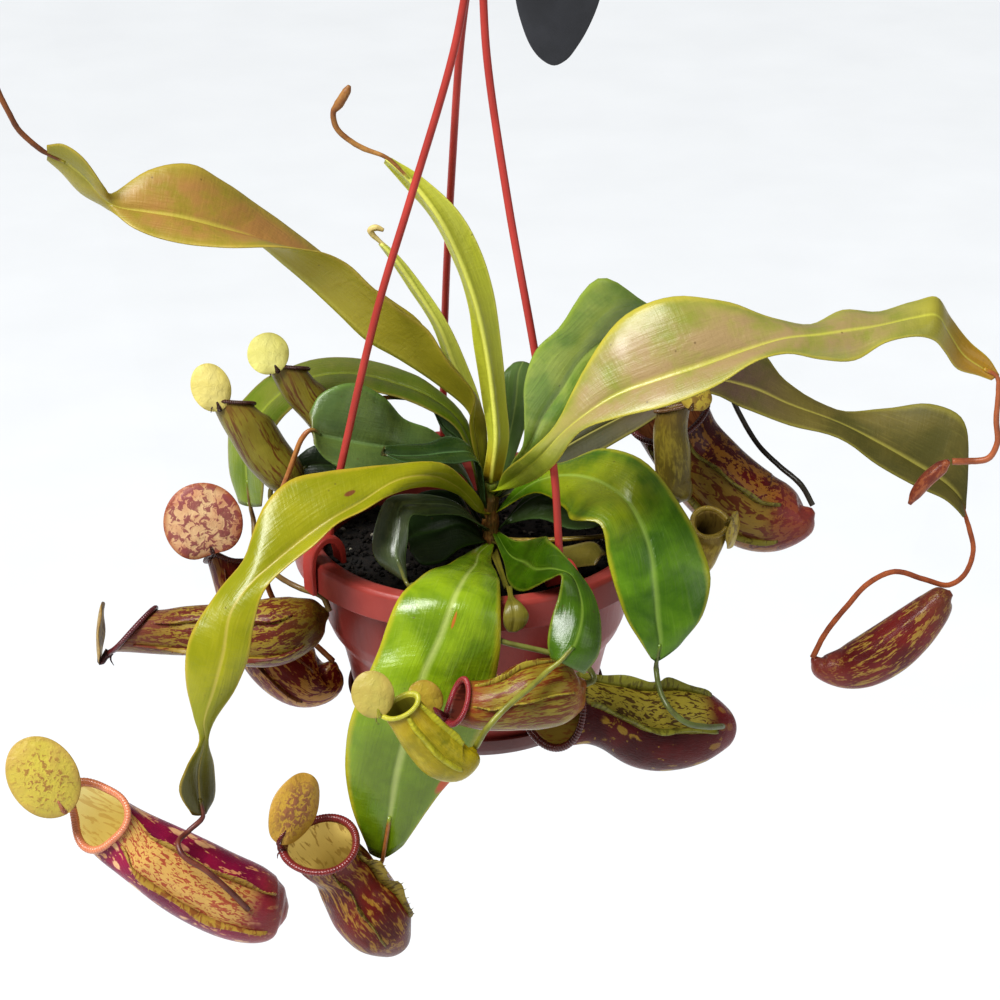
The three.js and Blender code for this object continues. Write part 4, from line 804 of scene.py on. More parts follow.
# Leaf 7: long lime leaf, over the front left of the rim and down
leaf("leaf_07",
  root=(240, 5),
  rows=[
    [[1, -8, 8], [2, -8, 9], [3, -7, 11]],
    [[-7, -17, 20], [-5, -16, 21], [-3, -14, 23]],
    [[-19, -30, 29], [-16, -27, 32], [-13, -22, 35]],
    [[-31, -44, 32], [-29, -38, 35], [-31, -30, 38]],
    [[-40, -54, 31], [-42, -47, 30], [-43, -35, 39]],
    [[-50, -60, 28], [-51, -53, 27], [-55, -39, 39]],
    [[-59, -66, 22], [-62, -58, 21], [-68, -44, 38]],
    [[-69, -70, 15], [-72, -64, 15], [-78, -52, 30]],
    [[-77, -74, 7], [-82, -70, 8], [-85, -60, 13]],
    [[-81, -76, -6], [-89, -74, -1], [-95, -66, 2]],
    [[-83, -78, -17], [-92, -78, -16], [-105, -74, -13]],
    [[-89, -78, -32], [-96, -80, -30], [-106, -76, -31]],
    [[-97, -78, -45], [-100, -80, -43], [-104, -78, -42]],
    [[-99, -78, -52], [-100, -79, -51], [-102, -80, -51]],
    [[-98, -74, -65], [-103, -79, -64], [-107, -84, -60]],
    [[-98, -75, -78], [-103, -80, -76], [-110, -84, -70]],
    [[-101, -78, -83], [-102, -80, -83], [-106, -81, -82]],
  ],
  tendril=[[-103, -80, -85], [-108, -82, -89], [-111, -88, -90], [-109, -92, -93],
    [-101, -94, -98], [-93, -93, -107], [-86, -88.9, -118.7]],
  skin=leaf_skin("yellow lime strap", "#929016", "#80820e", "#96841f", "#b8a657", "#b69c37", tip="#443f12",
                 cord=("#713d2e", "#532523"), gloss=0.3, waxy=0.25,
                 marks=[(0.35, 0.36, 0.07, 0.012, "#723d2a")]),
)

# Leaf 8: broad, straight over the front of the rim and down
leaf("leaf_08",
  root=(265, -8),
  rows=[
    [[6, -12, -10], [2, -10, -8], [-3, -9, -9]],
    [[8, -38, -3], [0, -38, 0], [-9, -38, 1]],
    [[9, -62, 3], [-4, -62, 6], [-19, -60, 7]],
    [[9, -76, 1], [-8, -78, 5], [-28, -74, 4]],
    [[9, -82, -11], [-13, -84, -7], [-35, -80, -13]],
    [[7, -84, -24], [-19, -88, -19], [-40, -85, -24]],
    [[3, -85, -42], [-24, -90, -38], [-46, -87, -40]],
    [[-5, -86, -59], [-29, -90, -58], [-48, -87, -58]],
    [[-15, -87, -72], [-32, -88, -79], [-46, -86, -76]],
    [[-27, -87, -92], [-35, -87, -98], [-40, -86, -96]],
  ],
  tendril=[[-36, -83, -103], [-35, -76, -110], [-31, -70, -122], [-27, -74, -134],
    [-27, -82, -138.3], [-29.6, -85.6, -136.7]],
  skin=leaf_skin("bright green strap", "#87a01b", "#607c0f", "#848f32", "#bac479", "#b8a62b", gloss=0.22,
                 waxy=0.5, blush=("#536809", 0.66, 1.2, 0.85),
                 marks=[(-0.13, 0.455, 0.03, 0.02, "#b4652c"), (-0.98, 0.83, 0.24, 0.05, "#c24a26")]),
)

# Leaf 9: small silvery folded leaf at the front left of the crown
leaf("leaf_09",
  root=(229, -2),
  rows=[
    [[-6, -13, 9], [-7, -12, 12], [-8, -11, 14]],
    [[-18, -26, 15], [-19, -24, 19], [-20, -20, 21]],
    [[-24, -38, 20], [-28, -36, 23], [-33, -31, 24]],
    [[-25, -44, 14], [-29, -44, 16], [-38, -39, 13]],
    [[-26, -48, 7], [-29, -50, 9], [-37, -45, 6]],
    [[-25, -53, 0], [-25, -54, 0], [-26, -52, 0]],
  ],
  tendril=[[-22, -61, 3.4], [-14, -70.5, 3], [-8, -76, -1], [0, -78, -6], [9, -80, -10],
    [27, -80, -15], [40, -82, -19], [43, -86, -23], [40, -87.1, -24.2]],
  skin=leaf_skin("folded grey blade", "#545e40", "#38442e", "#4d582e", "#717f5c", "#5c7348", gloss=0.24,
                 waxy=0.4, cord=("#73773a", "#5e5a2a")),
)

# Leaf 10: over the front of the rim, short and broad at its end
leaf("leaf_10",
  root=(322, -4),
  rows=[
    [[16, -13, -2], [13, -14, -7], [11, -16, -9]],
    [[26, -32, 9], [19, -36, 0], [13, -40, -7]],
    [[27, -54, 18], [23, -58, 8], [18, -56, -2]],
    [[31, -66, 19.5], [29, -72, 15], [27, -74, 12]],
    [[37, -76, 16], [35, -80, 16], [31, -84, 18]],
    [[43, -82, 9], [38, -86, 10], [30, -88, 12]],
    [[45, -90, 0], [38, -94, 5], [27, -92, 4]],
    [[44, -96, -7], [35, -100, -2], [26, -96, -3]],
    [[39, -98, -14], [30, -102, -7], [27, -98, -8]],
  ],
  tendril=[[26, -103, -10], [20, -109, -13], [11, -117, -17], [4, -120, -24], [0, -118, -32.5]],
  skin=leaf_skin("green curl", "#436308", "#314c05", "#4e6619", "#7d943d", "#7c8727", gloss=0.24, waxy=0.35,
                 cord=("#868634", "#6b6a27")),
)

# Leaf 11: broad, to the right and over the rim
leaf("leaf_11",
  root=(350, 5),
  rows=[
    [[23, -4, 24], [23, -9, 21], [23, -12, 18]],
    [[35, -8, 29], [36, -18, 28], [34, -31, 20]],
    [[48, -14, 37], [48, -30, 30], [36, -45, 22]],
    [[62, -24, 37], [57, -42, 27], [46, -51, 23]],
    [[75, -36, 26], [64, -52, 15], [49, -58, 11]],
    [[83, -46, 14], [66, -60, 3], [52, -62, 1]],
    [[87, -54, 2], [67, -64, -10], [56, -66, -9]],
    [[84, -60, -10], [68, -66, -19], [61, -68, -17]],
    [[76, -64, -20], [67, -67, -26], [65, -68, -24]],
  ],
  tendril=[[67, -67, -29], [68, -74, -34], [71, -80, -38], [77, -82, -43], [86, -75, -49],
    [92.4, -66.4, -53.6]],
  skin=leaf_skin("deep green strap", "#5a7e14", "#385a0c", "#748828", "#90a852", "#b0a626", gloss=0.24,
                 waxy=0.35, blush=("#b8ae24", 0.2, 0.6, 0.35), cord=("#5c6630", "#464626")),
)

# Leaf 12: narrow base, broad folded blade to the right of the middle. Its pale green is partly
# its own colour and partly a painted sheen: the whole blade is drawn lighter in place of its broad
# whitish sheen.
leaf("leaf_12",
  root=(340, 12),
  rows=[
    [[14, -20, 34], [15, -20, 33], [17, -22, 32]],
    [[18, -49, 56], [20, -48, 54], [23, -48, 52]],
    [[18, -54, 70], [25, -53, 68], [31, -54, 66]],
    [[18, -56, 81], [31, -54, 78], [40, -54, 74]],
    [[22, -56, 94], [38, -52, 89], [49, -50, 79]],
    [[30, -55, 102], [46, -48, 95], [60, -44, 84]],
    [[44, -50, 119], [57, -42, 99], [69, -36, 86]],
    [[62, -38, 105], [70, -30, 94], [79, -24, 83]],
    [[79, -18, 87], [84, -12, 80], [87, -10, 76]],
  ],
  tendril=[[91, 8, 69], [96, 36, 54], [103, 46, 30], [113, 43, 13], [121, 36, 7], [129, 29, 2],
    [133.6, 25.5, -5.3]],
  skin=leaf_skin("folded green blade", "#97a64f", "#668435", "#80923e", "#a1b563", "#8ea13c", gloss=0.24,
                 waxy=0.4, cord=("#38332a", "#28221d")),
)

# Leaf 13: the longest, arching out to the right
leaf("leaf_13",
  root=(290, 14),
  rows=[
    [[11, -22, 31], [15, -26, 31], [18, -29, 29]],
    [[20, -54, 54], [24, -56, 53], [29, -59, 51]],
    [[29, -60, 67], [33, -64, 67], [38, -68, 68]],
    [[41, -56, 90], [49, -66, 80], [52, -74, 76]],
    [[54, -52, 106], [64, -68, 87], [68, -78, 82]],
    [[71, -50, 112], [81, -66, 92], [84, -76, 88]],
    [[91, -48, 109], [96, -62, 96], [99, -70, 95]],
    [[107, -48, 103], [110, -58, 99], [111, -64, 96]],
    [[121, -44, 99], [123, -54, 99], [123, -60, 92]],
    [[133, -38, 102], [134, -50, 99], [136, -56, 90]],
    [[147, -34, 100], [145, -46, 99], [147, -52, 95]],
    [[160, -30, 102], [160, -40, 100], [159, -46, 95]],
    [[168, -30, 104], [167, -38, 100], [166, -42, 92]],
    [[174, -28, 95], [173, -34, 91], [171, -38, 86]],
    [[182, -28, 85], [179, -32, 82], [177, -33, 77]],
    [[189, -29, 79], [187, -31, 76], [185, -32, 74]],
    [[193, -30, 73], [192, -31, 73], [190, -32, 72]],
  ],
  tendril=[[193, -31, 68], [193, -31, 56], [194, -31, 46], [191, -31, 40], [184, -30, 38.5],
    [178, -30, 38.4]],
  end=1.3,
  skin=leaf_skin("long lime strap", "#989c3c", "#7f8630", "#989a2c", "#c4c44e", "#bcae3e", foot="#95a80e",
                 blush=("#9c8062", 0.32, 0.8, 0.85), cord=("#a8603a", "#8a4c2e"), tip="#a0761e", gloss=0.32,
                 waxy=0.3),
)

# Leaf 14: long and broad, out to the right at the back. Its near part is painted near black as
# shade, for the shadow that leaf 13 casts on it.
leaf("leaf_14",
  root=(30, 10),
  rows=[
    [[33, 14, 28], [34, 11, 26], [35, 4, 20]],
    [[60, 20, 43], [61, 17, 39], [62, 10, 34]],
    [[87, 26, 56], [87, 22, 50], [88, 16, 47]],
    [[110, 30, 59], [107, 24, 46], [104, 18, 40]],
    [[121, 30, 46], [122, 24, 39], [122, 17, 33]],
    [[142, 32, 33], [142, 24, 31], [141, 16, 28]],
    [[160, 32, 33], [158, 22, 23], [157, 14, 17]],
    [[178, 30, 36], [172, 20, 15], [172, 12, 9]],
    [[190, 26, 32], [184, 17, 8], [183, 11, 4]],
    [[193, 22, 20], [190, 15, 2], [188, 10, 0]],
    [[191, 18, 5], [192, 14, -4], [191, 11, -4]],
  ],
  tendril=[[194, 13, -10], [196, 12, -19], [193, 11, -29], [187, 10, -33], [177, 9, -30],
    [165, 8, -26], [155, 8, -31], [147, 8, -41], [139, 8, -53], [134.3, 8, -63.9]],
  skin=leaf_skin("olive strap", "#665c2a", "#504c20", "#625a24", "#b0a850", "#8c8438", foot="#141e0e",
                 foot_end=0.55, blush=("#56403c", 0.3, 0.56, 0.95), cord=("#b0623a", "#8f4e34"),
                 gloss=0.55, waxy=0.0),
)

# Leaf 15: small new leaf beside the top of the stem
leaf("leaf_15",
  root=(75, 5),
  rows=[
    [[10, 14, 33], [14, 14, 33], [19, 16, 32]],
    [[10, 18, 44], [16, 18, 44], [22, 20, 42]],
    [[11, 22, 52], [17, 23, 53], [23, 24, 49]],
    [[15, 27, 55], [19, 27, 56], [22, 28, 54]],
  ],
  skin=leaf_skin("new leaf", "#6c8648", "#56703a", "#7a8a40", "#a0b064", "#92a048"),
)

# Leaf 16: small dark leaf behind leaf 11. Its dark green is partly its own colour and partly
# painted shade, for the shadow in the crown.
leaf("leaf_16",
  root=(10, -3),
  rows=[
    [[25, -10, 6], [25, -3, 12], [25, 2, 15]],
    [[38, -22, 7], [40, -9, 14], [42, 0, 17]],
    [[53, -24, 12], [55, -11, 16], [56, -1, 18]],
    [[63, -14, 16], [64, -10, 16], [65, -6, 16]],
  ],
  tendril=[[69, -8, 12], [74, -2, 4.5], [77, 1, 3], [78, 2, 6.8]],
  skin=leaf_skin("shaded blade", "#26341a", "#182612", "#34441e", "#3c5226", "#3c5426",
                 cord=("#6c6630", "#504c28")),
)

# Leaf 17: low dark leaf at the left. Its dark green is partly its own colour and partly painted
# shade, for the shadow in the crown.
leaf("leaf_17",
  root=(211, -7),
  rows=[
    [[-5, -12, -5], [-6, -8, 3], [-7, 0, 12]],
    [[-13, -23, -6], [-15, -14, 3], [-17, -1, 14]],
    [[-21, -30, -3], [-23, -20, 4], [-25, -5, 12]],
    [[-25, -28, 2], [-26, -24, 4], [-26, -20, 6]],
  ],
  skin=leaf_skin("low dark blade", "#26361a", "#182612", "#32441e", "#3a5026", "#3e5828", gloss=0.28),
)

# Leaf 18: small upright dark leaf at the left of the crown. Its dark green is partly its own
# colour and partly painted shade, for the shadow in the crown.
leaf("leaf_18",
  root=(205, 7),
  rows=[
    [[1, -8, 29], [-1, -5, 31], [-3, -2, 34]],
    [[-8, -14, 31], [-9, -10, 34], [-10, -2, 37]],
    [[-17, -20, 34], [-19, -15, 35], [-18, -8, 37]],
    [[-26, -24, 36], [-28, -20, 37], [-27, -14, 39]],
    [[-33, -24, 39], [-35, -22, 39], [-34, -20, 41]],
  ],
  skin=leaf_skin("upright dark blade", "#344a20", "#223818", "#3e4e26", "#66865a", "#527048", gloss=0.26,
                 waxy=0.3),
)

# Leaf 19: dark leaf along the left of the pot, behind leaf 5. Its dark green is partly its own
# colour and partly painted shade, for the shadow in the crown.
leaf("leaf_19",
  root=(158, -5),
  rows=[
    [[-14, 14, 16], [-14, 16, 18], [-14, 18, 21]],
    [[-31, 14, 12], [-32, 18, 16], [-32, 20, 19]],
    [[-51, 14, 10], [-53, 18, 16], [-52, 21, 22]],
    [[-64, 14, 9], [-65, 18, 16], [-63, 21, 23]],
    [[-74, 15, 8], [-75, 17, 10], [-75, 19, 13]],
  ],
  tendril=[[-79, 16, 8], [-79, 10, 5], [-72, 4, 5], [-67, 2, 8], [-66.6, 2, 10.8]],
  skin=leaf_skin("dark side blade", "#263618", "#182610", "#36461e", "#3c5226", "#3c562a",
                 cord=("#766c34", "#58502c")),
)

# Leaf 20: small olive leaf on a thin stalk beside leaf 8, over the front of the rim
leaf("leaf_20",
  root=(292, -10.4),
  rows=[
    [[11, -25, -9.6], [10, -25, -9.6], [9, -25, -9.6]],
    [[13, -50, -4], [12, -50, -4], [11, -50, -4]],
    [[13.5, -61, 2.4], [12.5, -61, 2.6], [11.5, -61, 2.4]],
    [[14, -69.5, 2.5], [13, -70, 2.5], [12, -69.5, 2.2]],
    [[17, -75, 2.2], [14, -75.5, 2.4], [11, -74.5, 1.8]],
    [[19.3, -77, -1], [14.5, -78, -1], [10.3, -77, -1]],
    [[18, -77.5, -5], [14, -78, -5], [10.5, -77.5, -5]],
    [[15, -77.5, -7.5], [13.5, -77.7, -7.7], [12, -77.5, -7.5]],
  ],
  skin=leaf_skin("small olive blade", "#77702a", "#625c1e", "#6c6628", "#867e3c", "#7c7032"),
)

# Leaf 21: old olive leaf lying low inside the right of the rim
leaf("leaf_21",
  root=(305, -6.8),
  rows=[
    [[22, -9, -8.5], [22, -12, -8], [21, -15, -9.5]],
    [[34, -15, -5], [36, -20, -1], [33, -26, -7]],
    [[44, -20, -1], [45, -27, 4], [42, -33, -3]],
    [[50, -31, 1], [48, -34, 3], [45, -38, 0]],
  ],
  skin=leaf_skin("old olive blade", "#6c6228", "#4e481a", "#5a5222", "#8a7e3a", "#84723c"),
)

# ---------------------------------------------------------------------------------------------
# Pitchers
# Hollow traps that grow on the ends of the tendrils: a blotched cup with two fringed wings down
# its front, a ribbed rolled lip, a pale waxy throat, and a domed lid on a short neck.
def cup_skin(name, ground, dark, blotch, cover=0.5, size=0.3, slim=0.3, soft=0.05, ovals=None,
             panel=None, base=None, neck=None, gloss=0.33, fleck=0.3, coat=0.2):
    """Outside of a cup: blotches of one colour drawn out along a ground of two. A high `cover`
    leaves more ground bare; `size`, `slim` and `soft` are the grain of the blotches, how far they
    are drawn out, and how soft their edges are. `ovals` are loose round spots as well, `panel` is
    the strip between the wings: its colour, its spots and their grain. `base` and `neck` are the
    colours that the two ends turn to, though on pitcher 7 the `base` colour is partly a painted
    sheen, and `fleck` darkens the blotches in fine lines."""
    skin = Finish(name)
    wrap, around, along = skin.kept("wrap"), skin.lie(0), skin.lie(1)
    cloud = skin.noise(skin.place(), 75.0, 3.0)
    shape = skin.noise(skin.stretch(wrap, (1.0, 1.0, slim)), size, 3.0, 0.6, 0.5)
    small = skin.noise(skin.stretch(wrap, (1.0, 1.0, slim * 1.5)), size * 3.1, 2.0, 0.5, 0.3)
    fine = skin.noise(skin.stretch(wrap, (1.0, 1.0, 0.16)), 2.2, 3.0, 0.6)
    colour = skin.mix(cloud.between(0.35, 0.65), dark, ground)
    share = (shape * 0.68 + small * 0.32).between(cover - soft * 0.4, cover + soft * 0.6)
    colour = skin.mix(share * 0.9, colour, skin.mix(fine.between(0.48, 0.8) * fleck, blotch, dark))
    if ovals:
        spot = skin.node("ShaderNodeTexVoronoi", {"feature": "F1"}, {
            "Vector": skin.stretch(wrap, (1.0, 1.0, 0.42)), "Scale": 0.19, "Randomness": 0.9})
        some = cloud.between(0.4, 0.5) * (1 - (spot + small * 0.18 - 0.09).between(0.24, 0.33))
        colour = skin.mix(some, colour, ovals)
    if panel:
        strip = 1 - abs(around).between(0.15, 0.19)
        dots = skin.noise(skin.stretch(wrap, (1.0, 1.0, 0.36)), panel[2], 2.0, 0.55, 0.9).between(0.515, 0.56)
        face = skin.mix(dots * 0.85, panel[0], panel[1])
        rest = along.between(0.14, 0.26) * (1 - along.between(0.97, 1.0))
        colour = skin.mix(strip * rest * 0.95, colour, face)
    if base:
        colour = skin.mix((1 - along.between(0.02, 0.3)) * 0.75, colour, base)
    if neck:
        colour = skin.mix(along.between(0.7, 1.0) * 0.6, colour, neck)
    skin.shade(Base_Color=colour, Roughness=cloud * 0.16 + fine * 0.1 + (gloss - 0.13),
               Specular_IOR_Level=0.2, Coat_Weight=coat, Coat_Roughness=0.15,
               Normal=skin.bump(fine * 0.5 + cloud * 1.6 + shape * 0.4, 0.0005))
    return skin.material


def wing_skin(name, light, dark):
    """Wings: olive, with short dark stripes that run out to the fringe."""
    skin = Finish(name)
    stripe = skin.noise(skin.stretch(skin.kept("wrap"), (0.2, 0.35, 1.3)), 0.7, 2.0, 0.5, 0.8)
    skin.shade(Base_Color=skin.mix(stripe.between(0.5, 0.6) * 0.7, light, dark), Roughness=0.38,
               Specular_IOR_Level=0.3, Normal=skin.bump(stripe, 0.0003))
    return skin.material


RIBS = 78


def lip_skin(name, light, dark):
    """The rolled lip: glossy, with a darker line in each groove between its ribs."""
    skin = Finish(name)
    rib = skin.node("ShaderNodeMath", {"operation": "SINE"}, {0: skin.lie(0) * (math.pi * RIBS)})
    cloud = skin.noise(skin.kept("wrap"), 0.35, 3.0)
    colour = skin.mix((rib * 0.5 + 0.5) * 0.25 + cloud.between(0.4, 0.7) * 0.4, light, dark)
    skin.shade(Base_Color=colour, Roughness=cloud * 0.12 + 0.2, Coat_Weight=0.25, Coat_Roughness=0.12,
               Normal=skin.bump(rib, 0.00006))
    return skin.material


def throat_skin(name, light, spots, deep, share=0.6, painted_glow=0.0):
    """Inside of a cup: waxy and pale with a few drawn-out spots, darker further down. The last
    argument is painted light: the throat gives off its own colour, in place of the daylight that
    comes through the thin wall."""
    skin = Finish(name)
    spot = skin.noise(skin.stretch(skin.kept("wrap"), (1.0, 1.0, 0.35)), 0.5, 3.0, 0.55, 0.5)
    colour = skin.mix(spot.between(0.52, 0.6) * share, light, spots)
    colour = skin.mix((1 - skin.lie(1).between(0.55, 0.97)) * 0.95, colour, deep)
    # Painted light: the emission makes the throat give off its own colour.
    skin.shade(Base_Color=colour, Roughness=spot * 0.15 + 0.32, Specular_IOR_Level=0.25,
               Emission_Color=colour, Emission_Strength=painted_glow, Normal=skin.bump(spot, 0.0002))
    return skin.material


def lid_skin(name, light, flush, spots, cover=0.56, size=0.42, rim=None, middle=0.0):
    """A lid: pale, flushed towards its rim, with specks. A high `cover` leaves fewer of them,
    `size` is their grain, and `middle` gathers them in the lid's centre."""
    skin = Finish(name)
    wrap, along = skin.kept("wrap"), skin.lie(1)
    spot = skin.noise(wrap, size, 3.0, 0.6, 0.7)
    cloud = skin.noise(wrap, 0.13, 2.0)
    colour = skin.mix(cloud.between(0.35, 0.7) * 0.7 + along.between(0.3, 1.0) * 0.3, light, flush)
    gather = 1 - along.between(0.35, 1.0) * middle
    speck = (spot * 0.8 + gather * 0.1 + 0.05).between(cover - 0.01, cover + 0.05)
    colour = skin.mix(speck * gather * 0.8, colour, spots)
    colour = skin.mix(along.between(0.84, 1.0) * 0.7, colour, rim or flush)
    skin.shade(Base_Color=colour, Roughness=cloud * 0.2 + 0.3, Specular_IOR_Level=0.3,
               Normal=skin.bump(spot + cloud * 2, 0.0004))
    return skin.material


def cup_stations(spine, mouth):
    """Centres, ring normals and radii along a cup, its last rings tilted to the mouth."""
    spine = np.array(spine, float)
    steps = 7
    line = curve(spine[:, :3], steps)
    tangent = unit(np.gradient(line, axis=0))
    radii = np.concatenate([spine[:1, 3], spine[:, 3], spine[-1:, 3]])
    radius = []
    for before, a, b, after in zip(radii, radii[1:], radii[2:], radii[3:]):
        for t in np.arange(steps) / steps:
            radius.append(0.5 * (2 * a + (b - before) * t + (2 * before - 5 * a + 4 * b - after) * t * t
                                 + (3 * a - before - 3 * b + after) * t ** 3))
    radius.append(spine[-1, 3])
    if mouth is None:
        return line, tangent, np.array(radius)
    share = np.clip(1 - np.linalg.norm(line - line[-1], axis=1) / (2.4 * spine[-1, 3]), 0, 1)
    share = (share * share * (3 - 2 * share))[:, None]
    return line, unit(tangent * (1 - share) + unit(np.array(mouth, float)) * share), np.array(radius)


def hoops(centre, normal, towards, radius, angle):
    """One ring of points round each centre; angle 0 looks the way of `towards`."""
    u = unit(towards - normal * np.sum(towards * normal, axis=-1, keepdims=True))
    w = np.cross(normal, u)
    radius = np.asarray(radius, float)
    radius = radius[:, None, None] if radius.ndim == 1 else radius[..., None]
    spoke = np.cos(angle)[:, None] * u[:, None] + np.sin(angle)[:, None] * w[:, None]
    return centre[:, None] + radius * spoke


hair_random = random.Random(11)


def wing(form, line, normal, radius, towards, side, height, thick, finish):
    """A wing down the front of the cup, with a fringe of soft hairs on its edge if it is thin."""
    first, last = int(len(line) * 0.28), int(len(line) * 0.97)
    u = unit(towards - normal * np.sum(towards * normal, axis=1, keepdims=True))
    out = u * math.cos(0.55) + np.cross(normal, u) * side * math.sin(0.55)
    span = np.arange(first, last)
    share = (span - first) / (last - 1 - first)
    rise = height * (0.12 + 0.66 * np.sin(math.pi * share) ** 0.7) * (1 + 0.14 * np.sin(share * 21 + side))
    across = unit(np.cross(normal, out))[span]
    sway = across * (0.16 * height * np.sin(share * 17 + 2 * side))[:, None]
    root = line[span] + out[span] * (radius[span] - 0.6)[:, None]
    edge = line[span] + out[span] * (radius[span] + rise)[:, None] + sway
    middle = (root + edge) / 2
    rings = np.stack([root - across * thick * 1.6, middle - across * thick, edge - across * thick * 0.6,
                      edge + out[span] * thick * 0.5, edge + across * thick * 0.6, middle + across * thick,
                      root + across * thick * 1.6], axis=1)
    flat = np.zeros((1, 7))
    lie = np.stack(np.broadcast_arrays(side * 0.24, (span / len(line))[:, None], flat), axis=2)
    reach = np.array([0, 0.5, 1, 1.1, 1, 0.5, 0])[None] * rise[:, None]
    wrap = np.stack(np.broadcast_arrays(3.0 * side, reach, (span * 1.2)[:, None] + flat), axis=2)
    form.loft(rings, lie, wrap, finish)
    low, stout = height < 2.5, thick > 0.5
    if low or stout:
        return
    for k in range(1, len(span) - 1, 2):
        i = span[k]
        length = min(height, 4.5) * hair_random.uniform(0.22, 0.4)
        lean = normal[i] * hair_random.uniform(-0.4, 0.5) + across[k] * hair_random.uniform(-0.3, 0.3)
        start = edge[k] - out[i] * 0.2
        rod(form, [[*start, 0.22], [*(start + (out[i] + lean * 0.5) * length * 0.5), 0.15],
                   [*(start + (out[i] + lean) * length), 0.06]], sides=5, steps=1, finish=finish)


def domed_lid(form, finish, lid, tip):
    """A thin domed lid, widest at its middle, with a faint keel and a slightly wavy rim. A notch
    draws its rim in at the neck. Gives where the neck joins it and where its keel ends."""
    centre, long, wide, notch = np.array(lid["centre"]), lid["long"], lid["wide"], lid.get("notch", 0)
    n = unit(np.array(lid["normal"], float))
    back = -np.array(tip, float)
    back = unit(back - n * np.dot(back, n))
    side = np.cross(n, back)
    sides = 56
    angle = full_turn(sides)
    near = np.minimum(angle, 2 * math.pi - angle)
    pull = 1 - notch * np.exp(-(near / 0.5) ** 2)
    dome = 0.14 * long
    rings, lie = [], []
    shares = [0.03, 0.2, 0.4, 0.6, 0.78, 0.9, 0.97, 1.0]
    for face, order in ((-1, shares), (1, shares[::-1])):
        for share in order:
            flat = share * pull
            lift = dome * (1 - share ** 2) + face * 0.4 * (1 - 0.7 * share ** 8)
            keel = 0.5 * face * np.exp(-(np.sin(angle) * share * 6) ** 2) * (face < 0)
            lift = lift + 0.35 * share ** 3 * np.sin(angle * 5) - keel
            rings.append(centre + back * (long * flat * np.cos(angle))[:, None]
                         + side * (wide * flat * np.sin(angle))[:, None] + n * np.asarray(lift)[:, None])
            lie.append(np.stack([angle / math.pi - 1, np.full(sides, share),
                                 np.full(sides, 0.75 + face / 4)], axis=1))
    wrap = [np.stack([long * r[:, 1] * np.cos(angle), wide * r[:, 1] * np.sin(angle), r[:, 2] * 30], axis=1)
            for r in lie]
    form.loft(rings, lie, wrap, finish)
    joint = centre + back * long * (0.93 - notch)
    inner = centre + back * long * 0.6 + n * dome * 0.62
    return joint, inner


THROAT_FLOOR = 0.4
WALL_OF_CUP = 1.1


